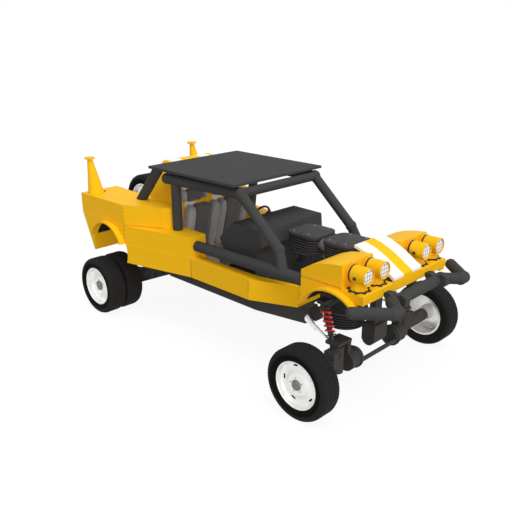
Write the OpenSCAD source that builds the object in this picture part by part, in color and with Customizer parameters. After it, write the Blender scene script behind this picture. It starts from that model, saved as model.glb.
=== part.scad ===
// Long-travel dune buggy: open finned engine in the nose, two seats, roll cage, striped body panels
// and twin rear tyres. X runs forward, Y to the left, Z up; the ground is Z = 0.
// Places along X are measured from the front axle, and at_axle() moves them into the part's own frame.

/* [Wheels] */
// Distance between the front and rear axles
wheelbase = 3316; // [3200:1:3450]
// Radius of every tyre
tyre_r = 350; // [330:1:365]
// Width of a front tyre and of the spare
tyre_w = 235; // [200:1:250]
// Width of each tyre of a rear pair
twin_w = 228; // [200:1:235]
// Gap between the two tyres of a rear pair
twin_gap = 16; // [8:1:30]
// Outer radius of the rims, where the tyres seat
rim_r = 235; // [215:1:250]
// Thickness of the rim barrels
rim_wall = 22; // [14:1:28]
// Half the distance between the middles of the front tyres
front_track = 1064; // [1030:1:1090]
// Half the distance between the middles of the rear pairs
rear_track = 875; // [860:1:910]
// Radius of the wheel spindles
spindle_r = 36; // [28:1:42]

/* [Body] */
// Half the width of the nose, the sills and the front of the side pods
body_half = 709; // [690:1:730]
// Half the width of the tail
tail_half = 935; // [915:1:960]
// Half the width of the striped hood
hood_half = 238; // [225:1:250]
// Half the width of the space between the side pods
bay_half = 480; // [472:1:500]
// How far the floor tub is set in from the side of the sills
tub_inset = 109; // [90:1:125]
// Thickness of the body panels
panel = 25; // [16:1:30]
// Height of the underside of the tub
belly_z = 580; // [560:1:600]
// Height of the top of the tub and the underside of the sills
sill_z = 730; // [715:1:745]
// Height of the top of the sills
waist_z = 955; // [930:1:975]
// Height of the top of the side pods
deck_z = 1188; // [1170:1:1205]
// Height of the top of the rear wings
wing_z = 1435; // [1415:1:1460]
// Height of the highest line of the rear cover
cover_z = 1885; // [1870:1:1900]
// Front face of the nose, from the front axle
nose_x = 355; // [340:1:370]
// Height of the shelf that carries the lamps
shelf_z = 1168; // [1155:1:1180]
// Height of the underside of the nose
nose_z = 1083; // [1065:1:1095]
// How far the tail's face lies behind the rear axle
tail_back = 444; // [424:1:484]

/* [Arches] */
// Radius of the opening of a front arch
front_arch_r = 361; // [350:1:370]
// Height of the middle of a front arch
front_arch_z = 782; // [770:1:795]
// Radius of the opening of a rear arch
rear_arch_r = 324; // [310:1:335]
// Height of the middle of a rear arch
rear_arch_z = 839; // [825:1:850]
// Distance of a rear arch's middle ahead of the rear axle
rear_arch_lead = 124; // [110:1:140]
// Thickness of the flares and of the arch liners
flare_t = 17; // [12:1:22]
// How far the flares stand out from the body side
flare_out = 72; // [55:1:85]

/* [Cage] */
// Diameter of the main cage tubes
tube_d = 120; // [100:1:130]
// Diameter of the frame tubes in the nose
frame_d = 60; // [48:1:66]
// Height of the axis of the roof rails
rail_z = 1785; // [1775:1:1792]
// Underside of the roof plate
roof_z = 1862; // [1855:1:1875]
// Thickness of the roof plate
roof_t = 28; // [20:1:36]
// Half the width of the roof plate
roof_half = 697; // [680:1:715]
// Front edge of the roof, behind the front axle
roof_front = 1268; // [1250:1:1290]
// How far the roof's rear edge lies ahead of the rear axle
roof_ahead = 660; // [646:1:681]

/* [Engine] */
// Radius of the round head plates
plate_r = 230; // [210:1:234]
// Height of the top of the head plates
plate_z = 1372; // [1360:1:1385]
// Radius of the cooling fins
fin_r = 215; // [190:1:222]
// Radius of the barrels inside the fins
barrel_r = 150; // [130:1:165]
// Number of fins on each barrel
fins = 6; // [4:1:7]
// Front cylinder's axis, behind the front axle
front_cyl = 345; // [340:1:355]
// Rear cylinder's axis, behind the front axle
rear_cyl = 815; // [808:1:822]

/* [Running gear] */
// Radius of a front axle housing
housing_r = 100; // [85:1:110]
// Radius of the stub axles
stub_r = 68; // [55:1:75]
// Distance of a kingpin from the middle plane
kingpin_y = 570; // [560:1:590]
// Radius of the kingpins
kingpin_r = 26; // [20:1:32]
// Radius of the wire of the red springs
wire_r = 9; // [6:1:11]
// Radius of the coil of the red springs
coil_r = 42; // [38:1:48]
// Turns in each red spring
coil_turns = 5; // [4:1:6]

/* [Fits] */
// Clearance all round a shaft that turns in a bore
run_gap = 0.08; // [0.05:0.01:0.1]
// Clearance between pieces that turn past each other
pass_gap = 12; // [8:1:20]

/* [Hidden] */
$fn = 64;
big = 4000;

yellow = "#f7b51e";
dark = "#444444";
black = "#242424";

// The spare stands upright in the tail and makes the rear end; the bumper makes the front end.
tail_x = wheelbase + tail_back;
roof_rear = wheelbase - roof_ahead;
spare_x = -wheelbase - 324;
spare_z = 1195;
// A ball on a pipe's corner is this much thicker than the pipe.
elbow_share = 1.125;
bumper_d = 112;
bumper_corner = [609, 584, 1062];
corner_half = 30;
rear_reach = -spare_x + tyre_r;
front_reach = bumper_corner[0] + bumper_d / 2 * elbow_share;
axle_x = (rear_reach - front_reach) / 2;

tub_rear = -wheelbase + 836;
tub_turn = -1037;
tub_front = -461;
tub_half = body_half - tub_inset;
tub_nose_half = tub_half - 110;
bay_rear = -1110;
engine_bay_half = 300;
tub_floor = belly_z + panel;
cabin_front = bay_rear - panel;
cabin_half = tub_half - panel;
pod_front = -wheelbase + 1366;
pod_rear = -wheelbase + 436;
cover_rear = -wheelbase + 358;
cover_front = -wheelbase + 816;
wing_front = -wheelbase + 953;
wing_turn = -wheelbase + 876;
tail_inner_half = 410;
tail_slant_z = 1200;
tail_low_x = -wheelbase - 234;
tail_low_z = 742;
fender_rear = -349;
fender_front = 118;
fender_z = 1398;
front_arch_x = 24;
rear_arch_x = rear_arch_lead - wheelbase;
front_spring_z = 950;
front_spring_fore_z = 1030;
rear_spring_z = 960;
hub_z = tyre_r;
// Turn of every bar about its own axis, so that its seam lies away from the corners of oblique cuts
seam_turn = 37;

// Moves what is measured from the front axle into the part's frame.
module at_axle() translate([axle_x, 0, 0]) children();

// Draws its children, made for the left side, on both sides.
module both_sides() {
    children();
    mirror([0, 1, 0]) children();
}

// Draws its children, made for the left side, on one side: 1 is left and -1 is right.
module on_side(side) {
    if (side > 0) children();
    else mirror([0, 1, 0]) children();
}

// Extrudes a side profile of (x, z) points from y0 to y1.
module along_y(y0, y1) translate([0, y1, 0]) rotate([90, 0, 0]) linear_extrude(y1 - y0) children();

// Extrudes a plan of (x, y) points from z0 to z1.
module along_z(z0, z1) translate([0, 0, z0]) linear_extrude(z1 - z0) children();

// A box between two corners.
module box(a, b) translate(a) cube(b - a);

// Turns its children's Z axis to a direction at a point.
module aimed(p, v) translate(p) rotate([0, acos(v[2] / norm(v)), atan2(v[1], v[0])])
    rotate(seam_turn) children();

// A round bar from a to b, optionally tapered.
module rod(a, b, d, d_end = 0)
    aimed(a, b - a) cylinder(h = norm(b - a), d1 = d, d2 = d_end > 0 ? d_end : d);

// A round bar along the line from a to b, cut square to X at both points.
module rod_cut_x(a, b, d) {
    u = (b - a) / norm(b - a);
    intersection() {
        rod(a - u * d, b + u * d, d);
        box([min(a[0], b[0]), -big, -big], [max(a[0], b[0]), big, big]);
    }
}

// A round bar along the line from a to b, cut level at both points.
module rod_cut_z(a, b, d) {
    u = (b - a) / norm(b - a);
    intersection() {
        rod(a - u * d, b + u * d, d);
        box([-big, -big, min(a[2], b[2])], [big, big, max(a[2], b[2])]);
    }
}

// A pipe through points: bars that stop short of each other inside a ball at every corner. Its two
// ends can be held back as well. Corners turn by less than 50 degrees.
module pipe(points, d, hold_first = 0, hold_last = 0) {
    last = len(points) - 1;
    u = [for (i = [0 : last - 1]) (points[i + 1] - points[i]) / norm(points[i + 1] - points[i])];
    held = [for (i = [0 : last]) i == 0 ? hold_first : i == last ? hold_last
        : d / 2 * tan(acos(u[i - 1] * u[i]) / 2) + 1];
    for (i = [0 : last - 1]) rod(points[i] + held[i] * u[i], points[i + 1] - held[i + 1] * u[i], d);
    if (last > 1) for (i = [1 : last - 1]) elbow(points[i], d);
}

module elbow(p, d) aimed(p, [1, 2, 3]) sphere(d = d * elbow_share);

// A rounded end on a pipe that stops at p, facing along v.
module pipe_end(p, v, d) aimed(p - 0.1 * d * v / norm(v), v) sphere(d = d * 1.03);

// A bar from a to b whose far end is domed within its own diameter.
module domed_rod(a, b, d) aimed(a, b - a) rotate_extrude() polygon([
    [0, 0], [d / 2, 0], [d / 2, norm(b - a)], [d * 0.46, norm(b - a) + d * 0.15],
    [d * 0.34, norm(b - a) + d * 0.31], [d * 0.18, norm(b - a) + d * 0.39], [0, norm(b - a) + d * 0.41]]);

// A half tube of an arch: the ring between two radii round (x, z), above one height ahead of the
// middle and another behind it.
module arch_ring(x, z, r_in, r_out, y0, y1, z_rear, z_fore) {
    intersection() {
        translate([x, y1, z]) rotate([90, 0, 0]) difference() {
            cylinder(r = r_out, h = y1 - y0);
            translate([0, 0, -1]) cylinder(r = r_in, h = y1 - y0 + 2);
        }
        union() {
            box([x - r_out - 1, y0 - 1, z_rear], [x, y1 + 1, z + r_out + 1]);
            box([x, y0 - 1, z_fore], [x + r_out + 1, y1 + 1, z + r_out + 1]);
        }
    }
}

// Dark open-topped floor tub with the engine bay cut through its front.
module belly_tub() color(dark) at_axle() difference() {
    along_z(belly_z, sill_z) polygon([
        [tub_rear, tub_half], [tub_turn, tub_half], [tub_front, tub_nose_half],
        [tub_front, -tub_nose_half], [tub_turn, -tub_half], [tub_rear, -tub_half]]);
    box([tub_rear + panel, -cabin_half, tub_floor], [cabin_front, cabin_half, sill_z + 1]);
    box([bay_rear, -engine_bay_half, belly_z - 1], [tub_front + 1, engine_bay_half, sill_z + 1]);
}

// Outline of the space between the rear wings, from the pods to the slanted tail, on the left.
function tail_inner(x) = x > cover_rear ? bay_half
    : bay_half - (bay_half - tail_inner_half) * (cover_rear - x) / (tail_x + cover_rear);

// Rails behind the tub, floor of the spare's bay and the post that the spare bolts to.
rail_in = 250;
rail_out = 330;
rail_low = sill_z - 90;
bay_floor = sill_z + panel;
post_y = tyre_w / 2 + 12;
module tail_frame() color(dark) at_axle() {
    both_sides() box([-wheelbase - 404, rail_in, rail_low], [tub_rear, rail_out, sill_z]);
    along_z(sill_z, bay_floor) polygon([
        [cover_rear, bay_half], [-tail_x, tail_inner(-tail_x)],
        [-tail_x, -tail_inner(-tail_x)], [cover_rear, -bay_half]]);
    box([spare_x - 55, post_y, bay_floor], [spare_x + 55, post_y + 45, spare_z + 80]);
    translate([spare_x, post_y + 1, spare_z]) rotate([90, 0, 0]) cylinder(r = 62, h = post_y + 1 - 40);
    for (s = [-1, 1]) along_y(post_y + 8, post_y + 37) polygon([
        [spare_x + s * 50, bay_floor], [spare_x + s * 170, bay_floor], [spare_x + s * 50, spare_z - 150]]);
}

// Horns, tubes, strut towers and middle post that carry the nose and the front suspension.
spine_y = 185;
spine_z = 1020;
horn_top = sill_z - 15;
cross_x = 270;
strut_top = [-228, 500, 877];
brace_d = 40;
module front_frame() color(dark) at_axle() {
    both_sides() {
        box([tub_front, engine_bay_half + 5, belly_z + 25], [tub_front + 75, 420, horn_top]);
        pipe([[tub_front + 50, 345, horn_top - 35], [-70, spine_y, spine_z],
            [cross_x + 20, spine_y, spine_z]], frame_d);
        box([tub_front + 70, 378, horn_top - 70], [tub_front + 116, 420, horn_top - 3]);
        rod([tub_front + 93, 400, horn_top - 25], strut_top + [-20, -38, 23], brace_d);
        box([strut_top[0] - 48, strut_top[1] - 62, strut_top[2]],
            [strut_top[0] + 44, strut_top[1] + 50, strut_top[2] + 38]);
    }
    box([cross_x, -hood_half, nose_z + 5], [nose_x - panel, hood_half, nose_z + 60]);
    both_sides() box([cross_x, spine_y - 40, spine_z - 20], [cross_x + 55, spine_y + 40, nose_z + 10]);
    rod([30, -spine_y, spine_z], [30, spine_y, spine_z], frame_d - 12);
    box([-5, -55, 560], [65, 55, spine_z]);
    difference() {
        union() {
            box([-45, -110, 430], [105, 110, 600]);
            translate([30, 110, 450]) rotate([90, 0, 0]) cylinder(r = 72, h = 220);
        }
        for (x = [-25, 85], z = [575]) translate([x, 111, z]) rotate([90, 0, 0]) cylinder(r = 9, h = 222);
    }
}

// Long yellow sills that taper in to the front of the tub and end in a panel across the bay's sides.
sill_end = -557;
module sills() color(yellow) at_axle() both_sides() along_z(sill_z, waist_z) polygon([
    [pod_front, body_half], [tub_turn, body_half], [sill_end, tub_nose_half + 17], [sill_end, 148],
    [sill_end - panel, 148], [sill_end - panel, tub_nose_half - 20], [tub_turn, cabin_half],
    [pod_front, cabin_half]]);

// Hollow side pods that widen from the sills to the tail.
function pod_y(x) = body_half + (tail_half - body_half) * (pod_front - x) / (pod_front - pod_rear);
module side_pods() color(yellow) at_axle() both_sides() difference() {
    along_z(sill_z, deck_z) polygon([
        [pod_front, bay_half], [pod_front, body_half], [pod_rear, tail_half], [pod_rear, bay_half]]);
    along_z(sill_z - 1, deck_z - panel) polygon([
        [pod_front - panel, bay_half + panel], [pod_front - panel, body_half - panel],
        [pod_rear + panel, tail_half - 2 * panel], [pod_rear + panel, bay_half + panel]]);
    translate([rear_arch_x, tail_half + 1, rear_arch_z]) rotate([90, 0, 0])
        cylinder(r = rear_arch_r + flare_t + 5, h = tail_half - bay_half + 2);
}

// Rear wings over the pods and the wheels, with the arch and its flare.
module rear_wings() color(yellow) at_axle() both_sides() {
    difference() {
        intersection() {
            along_z(tail_low_z, wing_z) polygon([
                [wing_front, bay_half], [wing_front, 641], [wing_turn, 700], [pod_rear, tail_half],
                [-tail_x, tail_half], [-tail_x, tail_inner(-tail_x)], [cover_rear, bay_half]]);
            along_y(0, tail_half + 10) polygon([
                [wing_front + 10, deck_z], [pod_rear, deck_z], [pod_rear, tail_low_z - 10],
                [tail_low_x, tail_low_z - 10], [tail_low_x, tail_low_z], [-tail_x, tail_slant_z],
                [-tail_x - 10, tail_slant_z], [-tail_x - 10, wing_z + 10], [wing_front + 10, wing_z + 10]]);
        }
        translate([rear_arch_x, tail_half + 1, rear_arch_z]) rotate([90, 0, 0])
            cylinder(r = rear_arch_r + flare_t, h = tail_half);
        box([rear_arch_x - rear_arch_r - flare_t, 0, 0],
            [pod_rear + 1, tail_half + 1, rear_arch_z]);
    }
    arch_ring(rear_arch_x, rear_arch_z, rear_arch_r, rear_arch_r + flare_t + 4,
        tail_half - panel, tail_half + flare_out, rear_spring_z, rear_spring_z + 6);
}

// Dark half tubes that line the arches.
module arch_liners() color(black) at_axle() both_sides() {
    arch_ring(rear_arch_x, rear_arch_z, rear_arch_r, rear_arch_r + flare_t,
        bay_half + 30, tail_half - panel, rear_spring_z, rear_spring_z + 6);
    arch_ring(front_arch_x, front_arch_z, front_arch_r, front_arch_r + flare_t,
        hood_half + 30, body_half - panel, front_spring_z, front_spring_fore_z + 60);
}

// Front wings: the raised fender, the lamp shelf and the arch with its flare.
module front_wings() color(yellow) at_axle() both_sides() {
    difference() {
        along_y(hood_half, body_half) polygon([
            [fender_rear, front_spring_z - 12], [fender_rear, 1248], [-243, 1315], [-128, 1359], [-15, 1383],
            [fender_front, fender_z], [fender_front, shelf_z], [nose_x, shelf_z], [nose_x, nose_z],
            [front_arch_x, nose_z], [front_arch_x, front_spring_z - 12]]);
        translate([front_arch_x, body_half + 1, front_arch_z]) rotate([90, 0, 0])
            cylinder(r = front_arch_r + flare_t, h = body_half - hood_half + 2);
    }
    arch_ring(front_arch_x, front_arch_z, front_arch_r, front_arch_r + flare_t + 4,
        body_half - panel, body_half + flare_out, front_spring_z - 12, front_spring_fore_z);
    box([fender_front, hood_half, shelf_z], [nose_x - 14, body_half - 14, shelf_z + 6]);
}

// Curved middle hood, open below, that ends in the front face of the nose.
hood_top = [[-100, 1430], [0, 1404], [90, 1367], [170, 1326], [240, 1283], [300, 1245], [nose_x, 1213]];
module hood() color("white") at_axle() along_y(-hood_half, hood_half) polygon(concat(
    hood_top, [[nose_x, nose_z], [nose_x - panel, nose_z]],
    [for (i = [len(hood_top) - 1 : -1 : 0]) hood_top[i] - [i == 0 ? 0 : panel * 0.6, panel]]));

// Dark cowl between the seats and the engine, open below, with a firewall down to the floor.
scuttle_half = 500;
cowl = [[-1686, 1190], [-1686, 1215], [-1500, 1415], [-1090, 1405], [-1072, 1230], [cabin_front, 1150]];
module scuttle() color(dark) at_axle() {
    difference() {
        along_y(-scuttle_half, scuttle_half) polygon(concat(cowl, [[cabin_front, tub_floor],
            [cabin_front - panel, tub_floor], [cabin_front - panel, 1000], [-1560, 1000]]));
        along_y(panel - scuttle_half, scuttle_half - panel) polygon([
            [-1700, 1150], [-1655, 1210], [-1490, 1390], [-1115, 1380], [-1100, 1240],
            [cabin_front - panel, 1160], [cabin_front - panel, 990], [-1600, 990]]);
    }
    rod(column_foot, column_top, 44);
    rod(column_top, column_top + column_dir * 40, 24);
}

// Handwheel ahead of the left seat, on its column.
wheel_y = 240;
column_foot = [cabin_front - panel / 2, wheel_y, 1082];
column_top = [-1730, wheel_y, 1243];
column_dir = (column_top - column_foot) / norm(column_top - column_foot);
wheel_rim_r = 150;
module steering_wheel() color(black) at_axle() translate(column_top)
    rotate([0, acos(column_dir[2]), 180]) {
        translate([0, 0, 60]) rotate_extrude() translate([wheel_rim_r, 0]) circle(r = 13);
        difference() {
            translate([0, 0, 6]) cylinder(r = 34, h = 54);
            translate([0, 0, 5]) cylinder(r = 12 + run_gap, h = 38);
        }
        for (a = [0, 120, 240]) rotate(a) translate([20, -14, 48]) cube([wheel_rim_r - 20, 28, 12]);
    }

// Yellow bulkhead box behind the seats, between the side pods.
module rear_deck() color(yellow) at_axle() difference() {
    box([cover_rear, -bay_half, sill_z], [tub_rear + panel, bay_half, deck_z]);
    box([cover_rear + panel, panel - bay_half, sill_z - 1],
        [tub_rear - panel, bay_half - panel, deck_z - panel]);
}

// Tapering rear cover, open below, whose striped crown shows behind the roof.
cover_top_half = 345;
cover_curve = [[771, 1640], [716, 1775], [626, 1850], [566, 1880], [494, cover_z], [426, 1810], [381, 1690],
    [364, 1560]];
cover_side = concat([[cover_front, deck_z]], [for (p = cover_curve) [p[0] - wheelbase, p[1]]],
    [[cover_rear, wing_z], [cover_rear, deck_z]]);
module rear_cover() color(yellow) at_axle() difference() {
    intersection() {
        along_y(-bay_half, bay_half) polygon(cover_side);
        translate([cover_rear, 0, 0]) rotate([90, 0, 90]) linear_extrude(-cover_rear) polygon([
            [-bay_half, deck_z], [-bay_half, wing_z], [-cover_top_half, cover_z + 1],
            [cover_top_half, cover_z + 1], [bay_half, wing_z], [bay_half, deck_z]]);
    }
    box([cover_rear + 2 * panel, panel - cover_top_half, deck_z - 1],
        [cover_front - 3 * panel, cover_top_half - panel, 1640]);
}

// Welded cage: two side frames with their cross tubes and roof pads.
hoop_d = tube_d - 8;
pillar_d = tube_d - 12;
cross_d = tube_d - 20;
hoop_foot = [1018 - wheelbase, 590, deck_z];
hoop_top = [1054 - wheelbase, 625, rail_z];
rail_rear = [896 - wheelbase, 630, rail_z - 12];
rail_front = [-1275, 585, rail_z];
pillar_bend = [-738, 586, 1310];
door_rear = [pod_front, 608, 1076];
door_front = [fender_rear, 640, 1108];
pillar_foot = [-640, 632, 1100];
rail_gap = 24;
module roll_cage() color(dark) at_axle() {
    both_sides() {
        rod_cut_z(hoop_foot, hoop_top, hoop_d);
        pipe([rail_rear, rail_front], tube_d, hold_last = rail_gap);
        pipe_end(rail_rear, rail_rear - rail_front, tube_d);
        elbow(rail_front, tube_d);
        pipe([rail_front, pillar_bend, pillar_foot], pillar_d, hold_first = rail_gap);
        rod_cut_x(door_rear, door_front, tube_d);
        for (p = [[rail_rear[0] + 50, 626], [rail_front[0] - 485, 604], [rail_front[0] - 125, 591]])
            translate([p[0], p[1], rail_z + 20]) cylinder(d = 50, h = roof_z - rail_z - 20);
    }
    rod([rail_front[0], -rail_front[1], rail_z], rail_front, cross_d);
    rod([hoop_top[0], -hoop_top[1], rail_z], hoop_top, cross_d);
}

// Stays from the roof down to the rear wings.
stay_foot = [350 - wheelbase, 589, wing_z];
stay_top = [750 - wheelbase, 622, roof_z];
module rear_stays() color(dark) at_axle() both_sides() rod_cut_z(stay_foot, stay_top, tube_d);

// Flat roof plate on the cage.
module roof_panel() color(dark) at_axle()
    box([-roof_rear, -roof_half, roof_z], [-roof_front, roof_half, roof_z + roof_t]);

// Tubular bumper with its two brackets on the nose.
bumper_cross = [470, 421, 1066];
bumper_tip = [339, 858, 1066];
function right(p) = [p[0], -p[1], p[2]];
bumper_inner = bumper_corner - [0, corner_half, 0];
bumper_outer = bumper_corner + [0, corner_half, 0];
end_dir = (bumper_tip - bumper_outer) / norm(bumper_tip - bumper_outer);
bumper_hold = 27;
bracket_y = 352;
module front_bumper() color(dark) at_axle() {
    both_sides() {
        elbow(bumper_outer, bumper_d);
        domed_rod(bumper_outer + bumper_hold * end_dir, bumper_tip, bumper_d);
        difference() {
            along_y(bracket_y - 40, bracket_y + 40) polygon([
                [nose_x, 1092], [nose_x, 1122], [400, 1130], [440, 1112], [490, 1128], [540, 1150],
                [585, 1120], [580, 1040], [520, 1000], [400, 1010]]);
            translate([452, bracket_y + 41, 1186]) rotate([90, 0, 0]) cylinder(r = 70, h = 82);
        }
    }
    pipe([right(bumper_outer), right(bumper_inner), right(bumper_cross), bumper_cross, bumper_inner,
        bumper_outer], bumper_d, bumper_hold, bumper_hold);
}

// Four lamp cans on scalloped feet, two on each side of the hood.
lamp_ys = [360, 605];
lamp_z = 1318;
lamp_r = 82;
lens_r = 73;
lamp_rear = 140;
lamp_front = 330;
module lamp_cans() color(yellow) at_axle() both_sides() for (y = lamp_ys) {
    translate([lamp_rear, y, lamp_z]) rotate([0, 90, 0]) difference() {
        union() {
            cylinder(r1 = lamp_r - 14, r2 = lamp_r - 4, h = 26);
            translate([0, 0, 26]) cylinder(r = lamp_r - 8, h = 10);
            translate([0, 0, 36]) cylinder(r = lamp_r, h = lamp_front - lamp_rear - 36);
        }
        translate([0, 0, lamp_front - lamp_rear - 30]) cylinder(r = lens_r, h = 31);
    }
    difference() {
        translate([235, y, shelf_z + 6]) cylinder(r1 = 84, r2 = 46, h = lamp_z - shelf_z - lamp_r + 20);
        translate([lamp_rear, y, lamp_z]) rotate([0, 90, 0]) cylinder(r = lamp_r - 4, h = 300);
        for (a = [0 : 45 : 359]) translate([235 + 90 * cos(a), y + 90 * sin(a), shelf_z + 5])
            cylinder(r = 17, h = 40);
    }
}

// Lenses seated in the mouths of the cans.
module lamp_lenses() color("white") at_axle() both_sides() for (y = lamp_ys)
    translate([lamp_front - 30, y, lamp_z]) rotate([0, 90, 0]) {
        cylinder(r = lens_r, h = 22);
        translate([0, 0, 22]) cylinder(r1 = lens_r, r2 = lens_r - 16, h = 8);
    }

// One seat, made on the left: base, cushion, back, side bolsters and headrest.
seat_in = 14;
seat_out = 466;
module seat() at_axle() translate([-wheelbase, 0, 0]) {
    mid_in = seat_in + 85;
    mid_out = seat_out - 85;
    along_y(mid_in, mid_out) polygon([
        [986, 760], [1486, 800], [1501, 850], [1476, 880], [1086, 850], [941, 1440], [926, 1600],
        [876, 1605], [864, 1440]]);
    for (y = [seat_in, mid_out]) along_y(y, y + 85) polygon([
        [981, 740], [1486, 780], [1506, 860], [1466, 925], [1196, 935], [1146, 1080], [1086, 1150],
        [1006, 1430], [966, 1455], [861, 1440]]);
    for (y = [mid_in - 35, mid_out]) along_y(y, y + 35) polygon([
        [956, 1470], [941, 1590], [876, 1595], [864, 1440]]);
    box([1016, mid_in, tub_floor], [1416, mid_in + 40, 790]);
    box([1016, mid_out - 40, tub_floor], [1416, mid_out, 790]);
}
module seat_left() color("#5a5a5a") seat();
module seat_right() color("#5a5a5a") mirror([0, 1, 0]) seat();

// Crankcase on mounts across the engine bay, with the finned sump drum under its front.
case_half = 140;
drum_top = 640;
drum_low = 470;
flange_z = 1178;
module fin_stack(x, z0, z1, r, barrel, count) {
    pitch = (z1 - z0) / count;
    translate([x, 0, z0]) cylinder(r = barrel, h = z1 - z0);
    for (i = [0 : count - 1]) translate([x, 0, z0 + pitch * (i + 0.55)]) cylinder(r = r, h = pitch * 0.42);
}
module engine_block() color(dark) at_axle() {
    box([-rear_cyl - 150, -case_half, 690], [-front_cyl + 150, case_half, 1040]);
    for (x = [-rear_cyl, -front_cyl]) {
        translate([x, 0, 1040]) cylinder(r = barrel_r - 20, h = flange_z - 1040);
        translate([x, 0, flange_z - 22]) cylinder(r = fin_r - 8, h = 22);
        for (a = [45 : 90 : 359]) translate([x + 170 * cos(a), 170 * sin(a), 1030])
            cylinder(r = 11, h = flange_z - 1045);
    }
    translate([0, 0, 1010]) linear_extrude(30) polygon([
        [-rear_cyl - 150, 150], [-front_cyl + 150, 150],
        [-front_cyl + 150, -150], [-rear_cyl - 150, -150]]);
    translate([-front_cyl, 0, drum_top]) cylinder(r = plate_r + 8, h = 22);
    translate([-front_cyl, 0, drum_top + 20]) cylinder(r = barrel_r, h = 40);
    fin_stack(-front_cyl, drum_low, drum_top, fin_r, barrel_r, fins);
    translate([-front_cyl, 0, drum_low - 26]) cylinder(r1 = barrel_r - 40, r2 = fin_r - 20, h = 28);
    for (x = [-rear_cyl - 60, -rear_cyl + 150])
        box([x, -engine_bay_half, 660], [x + 50, engine_bay_half, 715]);
}

// The two upright finned cylinders with their round head plates.
module cylinders() color(dark) at_axle() for (x = [-rear_cyl, -front_cyl]) {
    fin_stack(x, flange_z, plate_z - 34, fin_r, barrel_r, fins);
    difference() {
        translate([x, 0, plate_z - 34]) {
            cylinder(r1 = fin_r, r2 = plate_r, h = 10);
            translate([0, 0, 10]) cylinder(r = plate_r, h = 16);
            translate([0, 0, 26]) cylinder(r1 = plate_r, r2 = plate_r - 24, h = 8);
        }
        translate([x, 0, plate_z - 12]) rotate(35) translate([-150, -26, 0]) cube([150, 52, 20]);
    }
    for (s = [-1, 1]) translate([x + s * 60, s * -70, plate_z - 1]) cylinder(r = 16, h = 12, $fn = 6);
}

// Leaning cone stacks with flat caps on the ends of the rear wings.
stack_foot = [-284 - wheelbase, 818, wing_z];
stack_top = [-375 - wheelbase, 818, 1850];
module stacks() color(yellow) at_axle() both_sides() {
    hull() {
        translate(stack_foot) cylinder(r = 98, h = 4, $fn = 32);
        translate(stack_top) cylinder(r = 30, h = 4, $fn = 32);
    }
    translate(stack_top + [0, 0, 2]) cylinder(r = 62, h = 18);
}

// Fixed front axle housings with the carrier that holds strut, link and kingpin, joined by a bar.
housing_in = 290;
carrier_z = 545;
carrier_t = 32;
housing_x = 22;
housing_z = hub_z - 18;
housing_out = kingpin_y - stub_r - pass_gap - 25;
module axle_housings() color(dark) at_axle() {
    both_sides() {
        difference() {
            translate([housing_x, housing_out, housing_z]) rotate([90, 0, 0])
                cylinder(r = housing_r, h = housing_out - housing_in);
            translate([housing_x - 10, housing_in + 14, housing_z + 4]) rotate([90, 0, 0])
                cylinder(r = housing_r - 35, h = 20);
        }
        translate([housing_x, housing_in + 50, housing_z]) rotate([90, 0, 0])
            cylinder(r = housing_r + 12, h = 26);
        box([-35, housing_out - 45, housing_z], [55, housing_out, carrier_z]);
        box([-95, housing_out - 45, carrier_z], [60, kingpin_y + 60, carrier_z + carrier_t]);
        translate([0, kingpin_y, hub_z - 90]) cylinder(r = kingpin_r, h = carrier_z - hub_z + 91);
    }
    rod([95, -housing_in, housing_z - 25], [95, housing_in, housing_z - 25], 44);
}

// Steered knuckle, made on the left: barrel round the kingpin, stub axle and spindle.
spindle_end = front_track + 46;
stub_end = front_track - 86;
module knuckle() at_axle() difference() {
    union() {
        translate([0, kingpin_y, hub_z - 90]) cylinder(r = stub_r, h = carrier_z - pass_gap - hub_z + 90);
        translate([0, stub_end, hub_z]) rotate([90, 0, 0]) cylinder(r = stub_r, h = stub_end - kingpin_y);
        translate([0, spindle_end, hub_z]) rotate([90, 0, 0])
            cylinder(r = spindle_r, h = spindle_end - kingpin_y);
        box([-60, kingpin_y + 20, hub_z + 30], [60, kingpin_y + 120, hub_z + 150]);
        translate([-70, kingpin_y + 18, hub_z + 100]) rotate([0, 90, 0]) cylinder(r = 26, h = 140);
    }
    translate([0, kingpin_y, hub_z - 91]) cylinder(r = kingpin_r + run_gap, h = carrier_z - hub_z + 100);
}
module knuckle_left() color(dark) knuckle();
module knuckle_right() color(dark) mirror([0, 1, 0]) knuckle();

// Struts between the towers and the carriers.
strut_foot = [-62, kingpin_y + 5, carrier_z + carrier_t];
strut_dir = (strut_top - strut_foot) / norm(strut_top - strut_foot);
strut_len = norm(strut_top - strut_foot);
perch_r = coil_r + 11;
perch_low = 36;
module struts() color(black) at_axle() both_sides() intersection() {
    aimed(strut_foot, strut_dir) rotate_extrude() polygon([
        [0, -40], [26, -40], [26, perch_low], [perch_r, perch_low], [perch_r, perch_low + 10],
        [26, perch_low + 10], [26, strut_len / 2],
        [15, strut_len / 2], [15, strut_len - 62], [perch_r, strut_len - 62], [perch_r, strut_len - 52],
        [15, strut_len - 52], [15, strut_len + 40], [0, strut_len + 40]]);
    box([-big, -big, strut_foot[2]], [big, big, strut_top[2]]);
}

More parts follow.
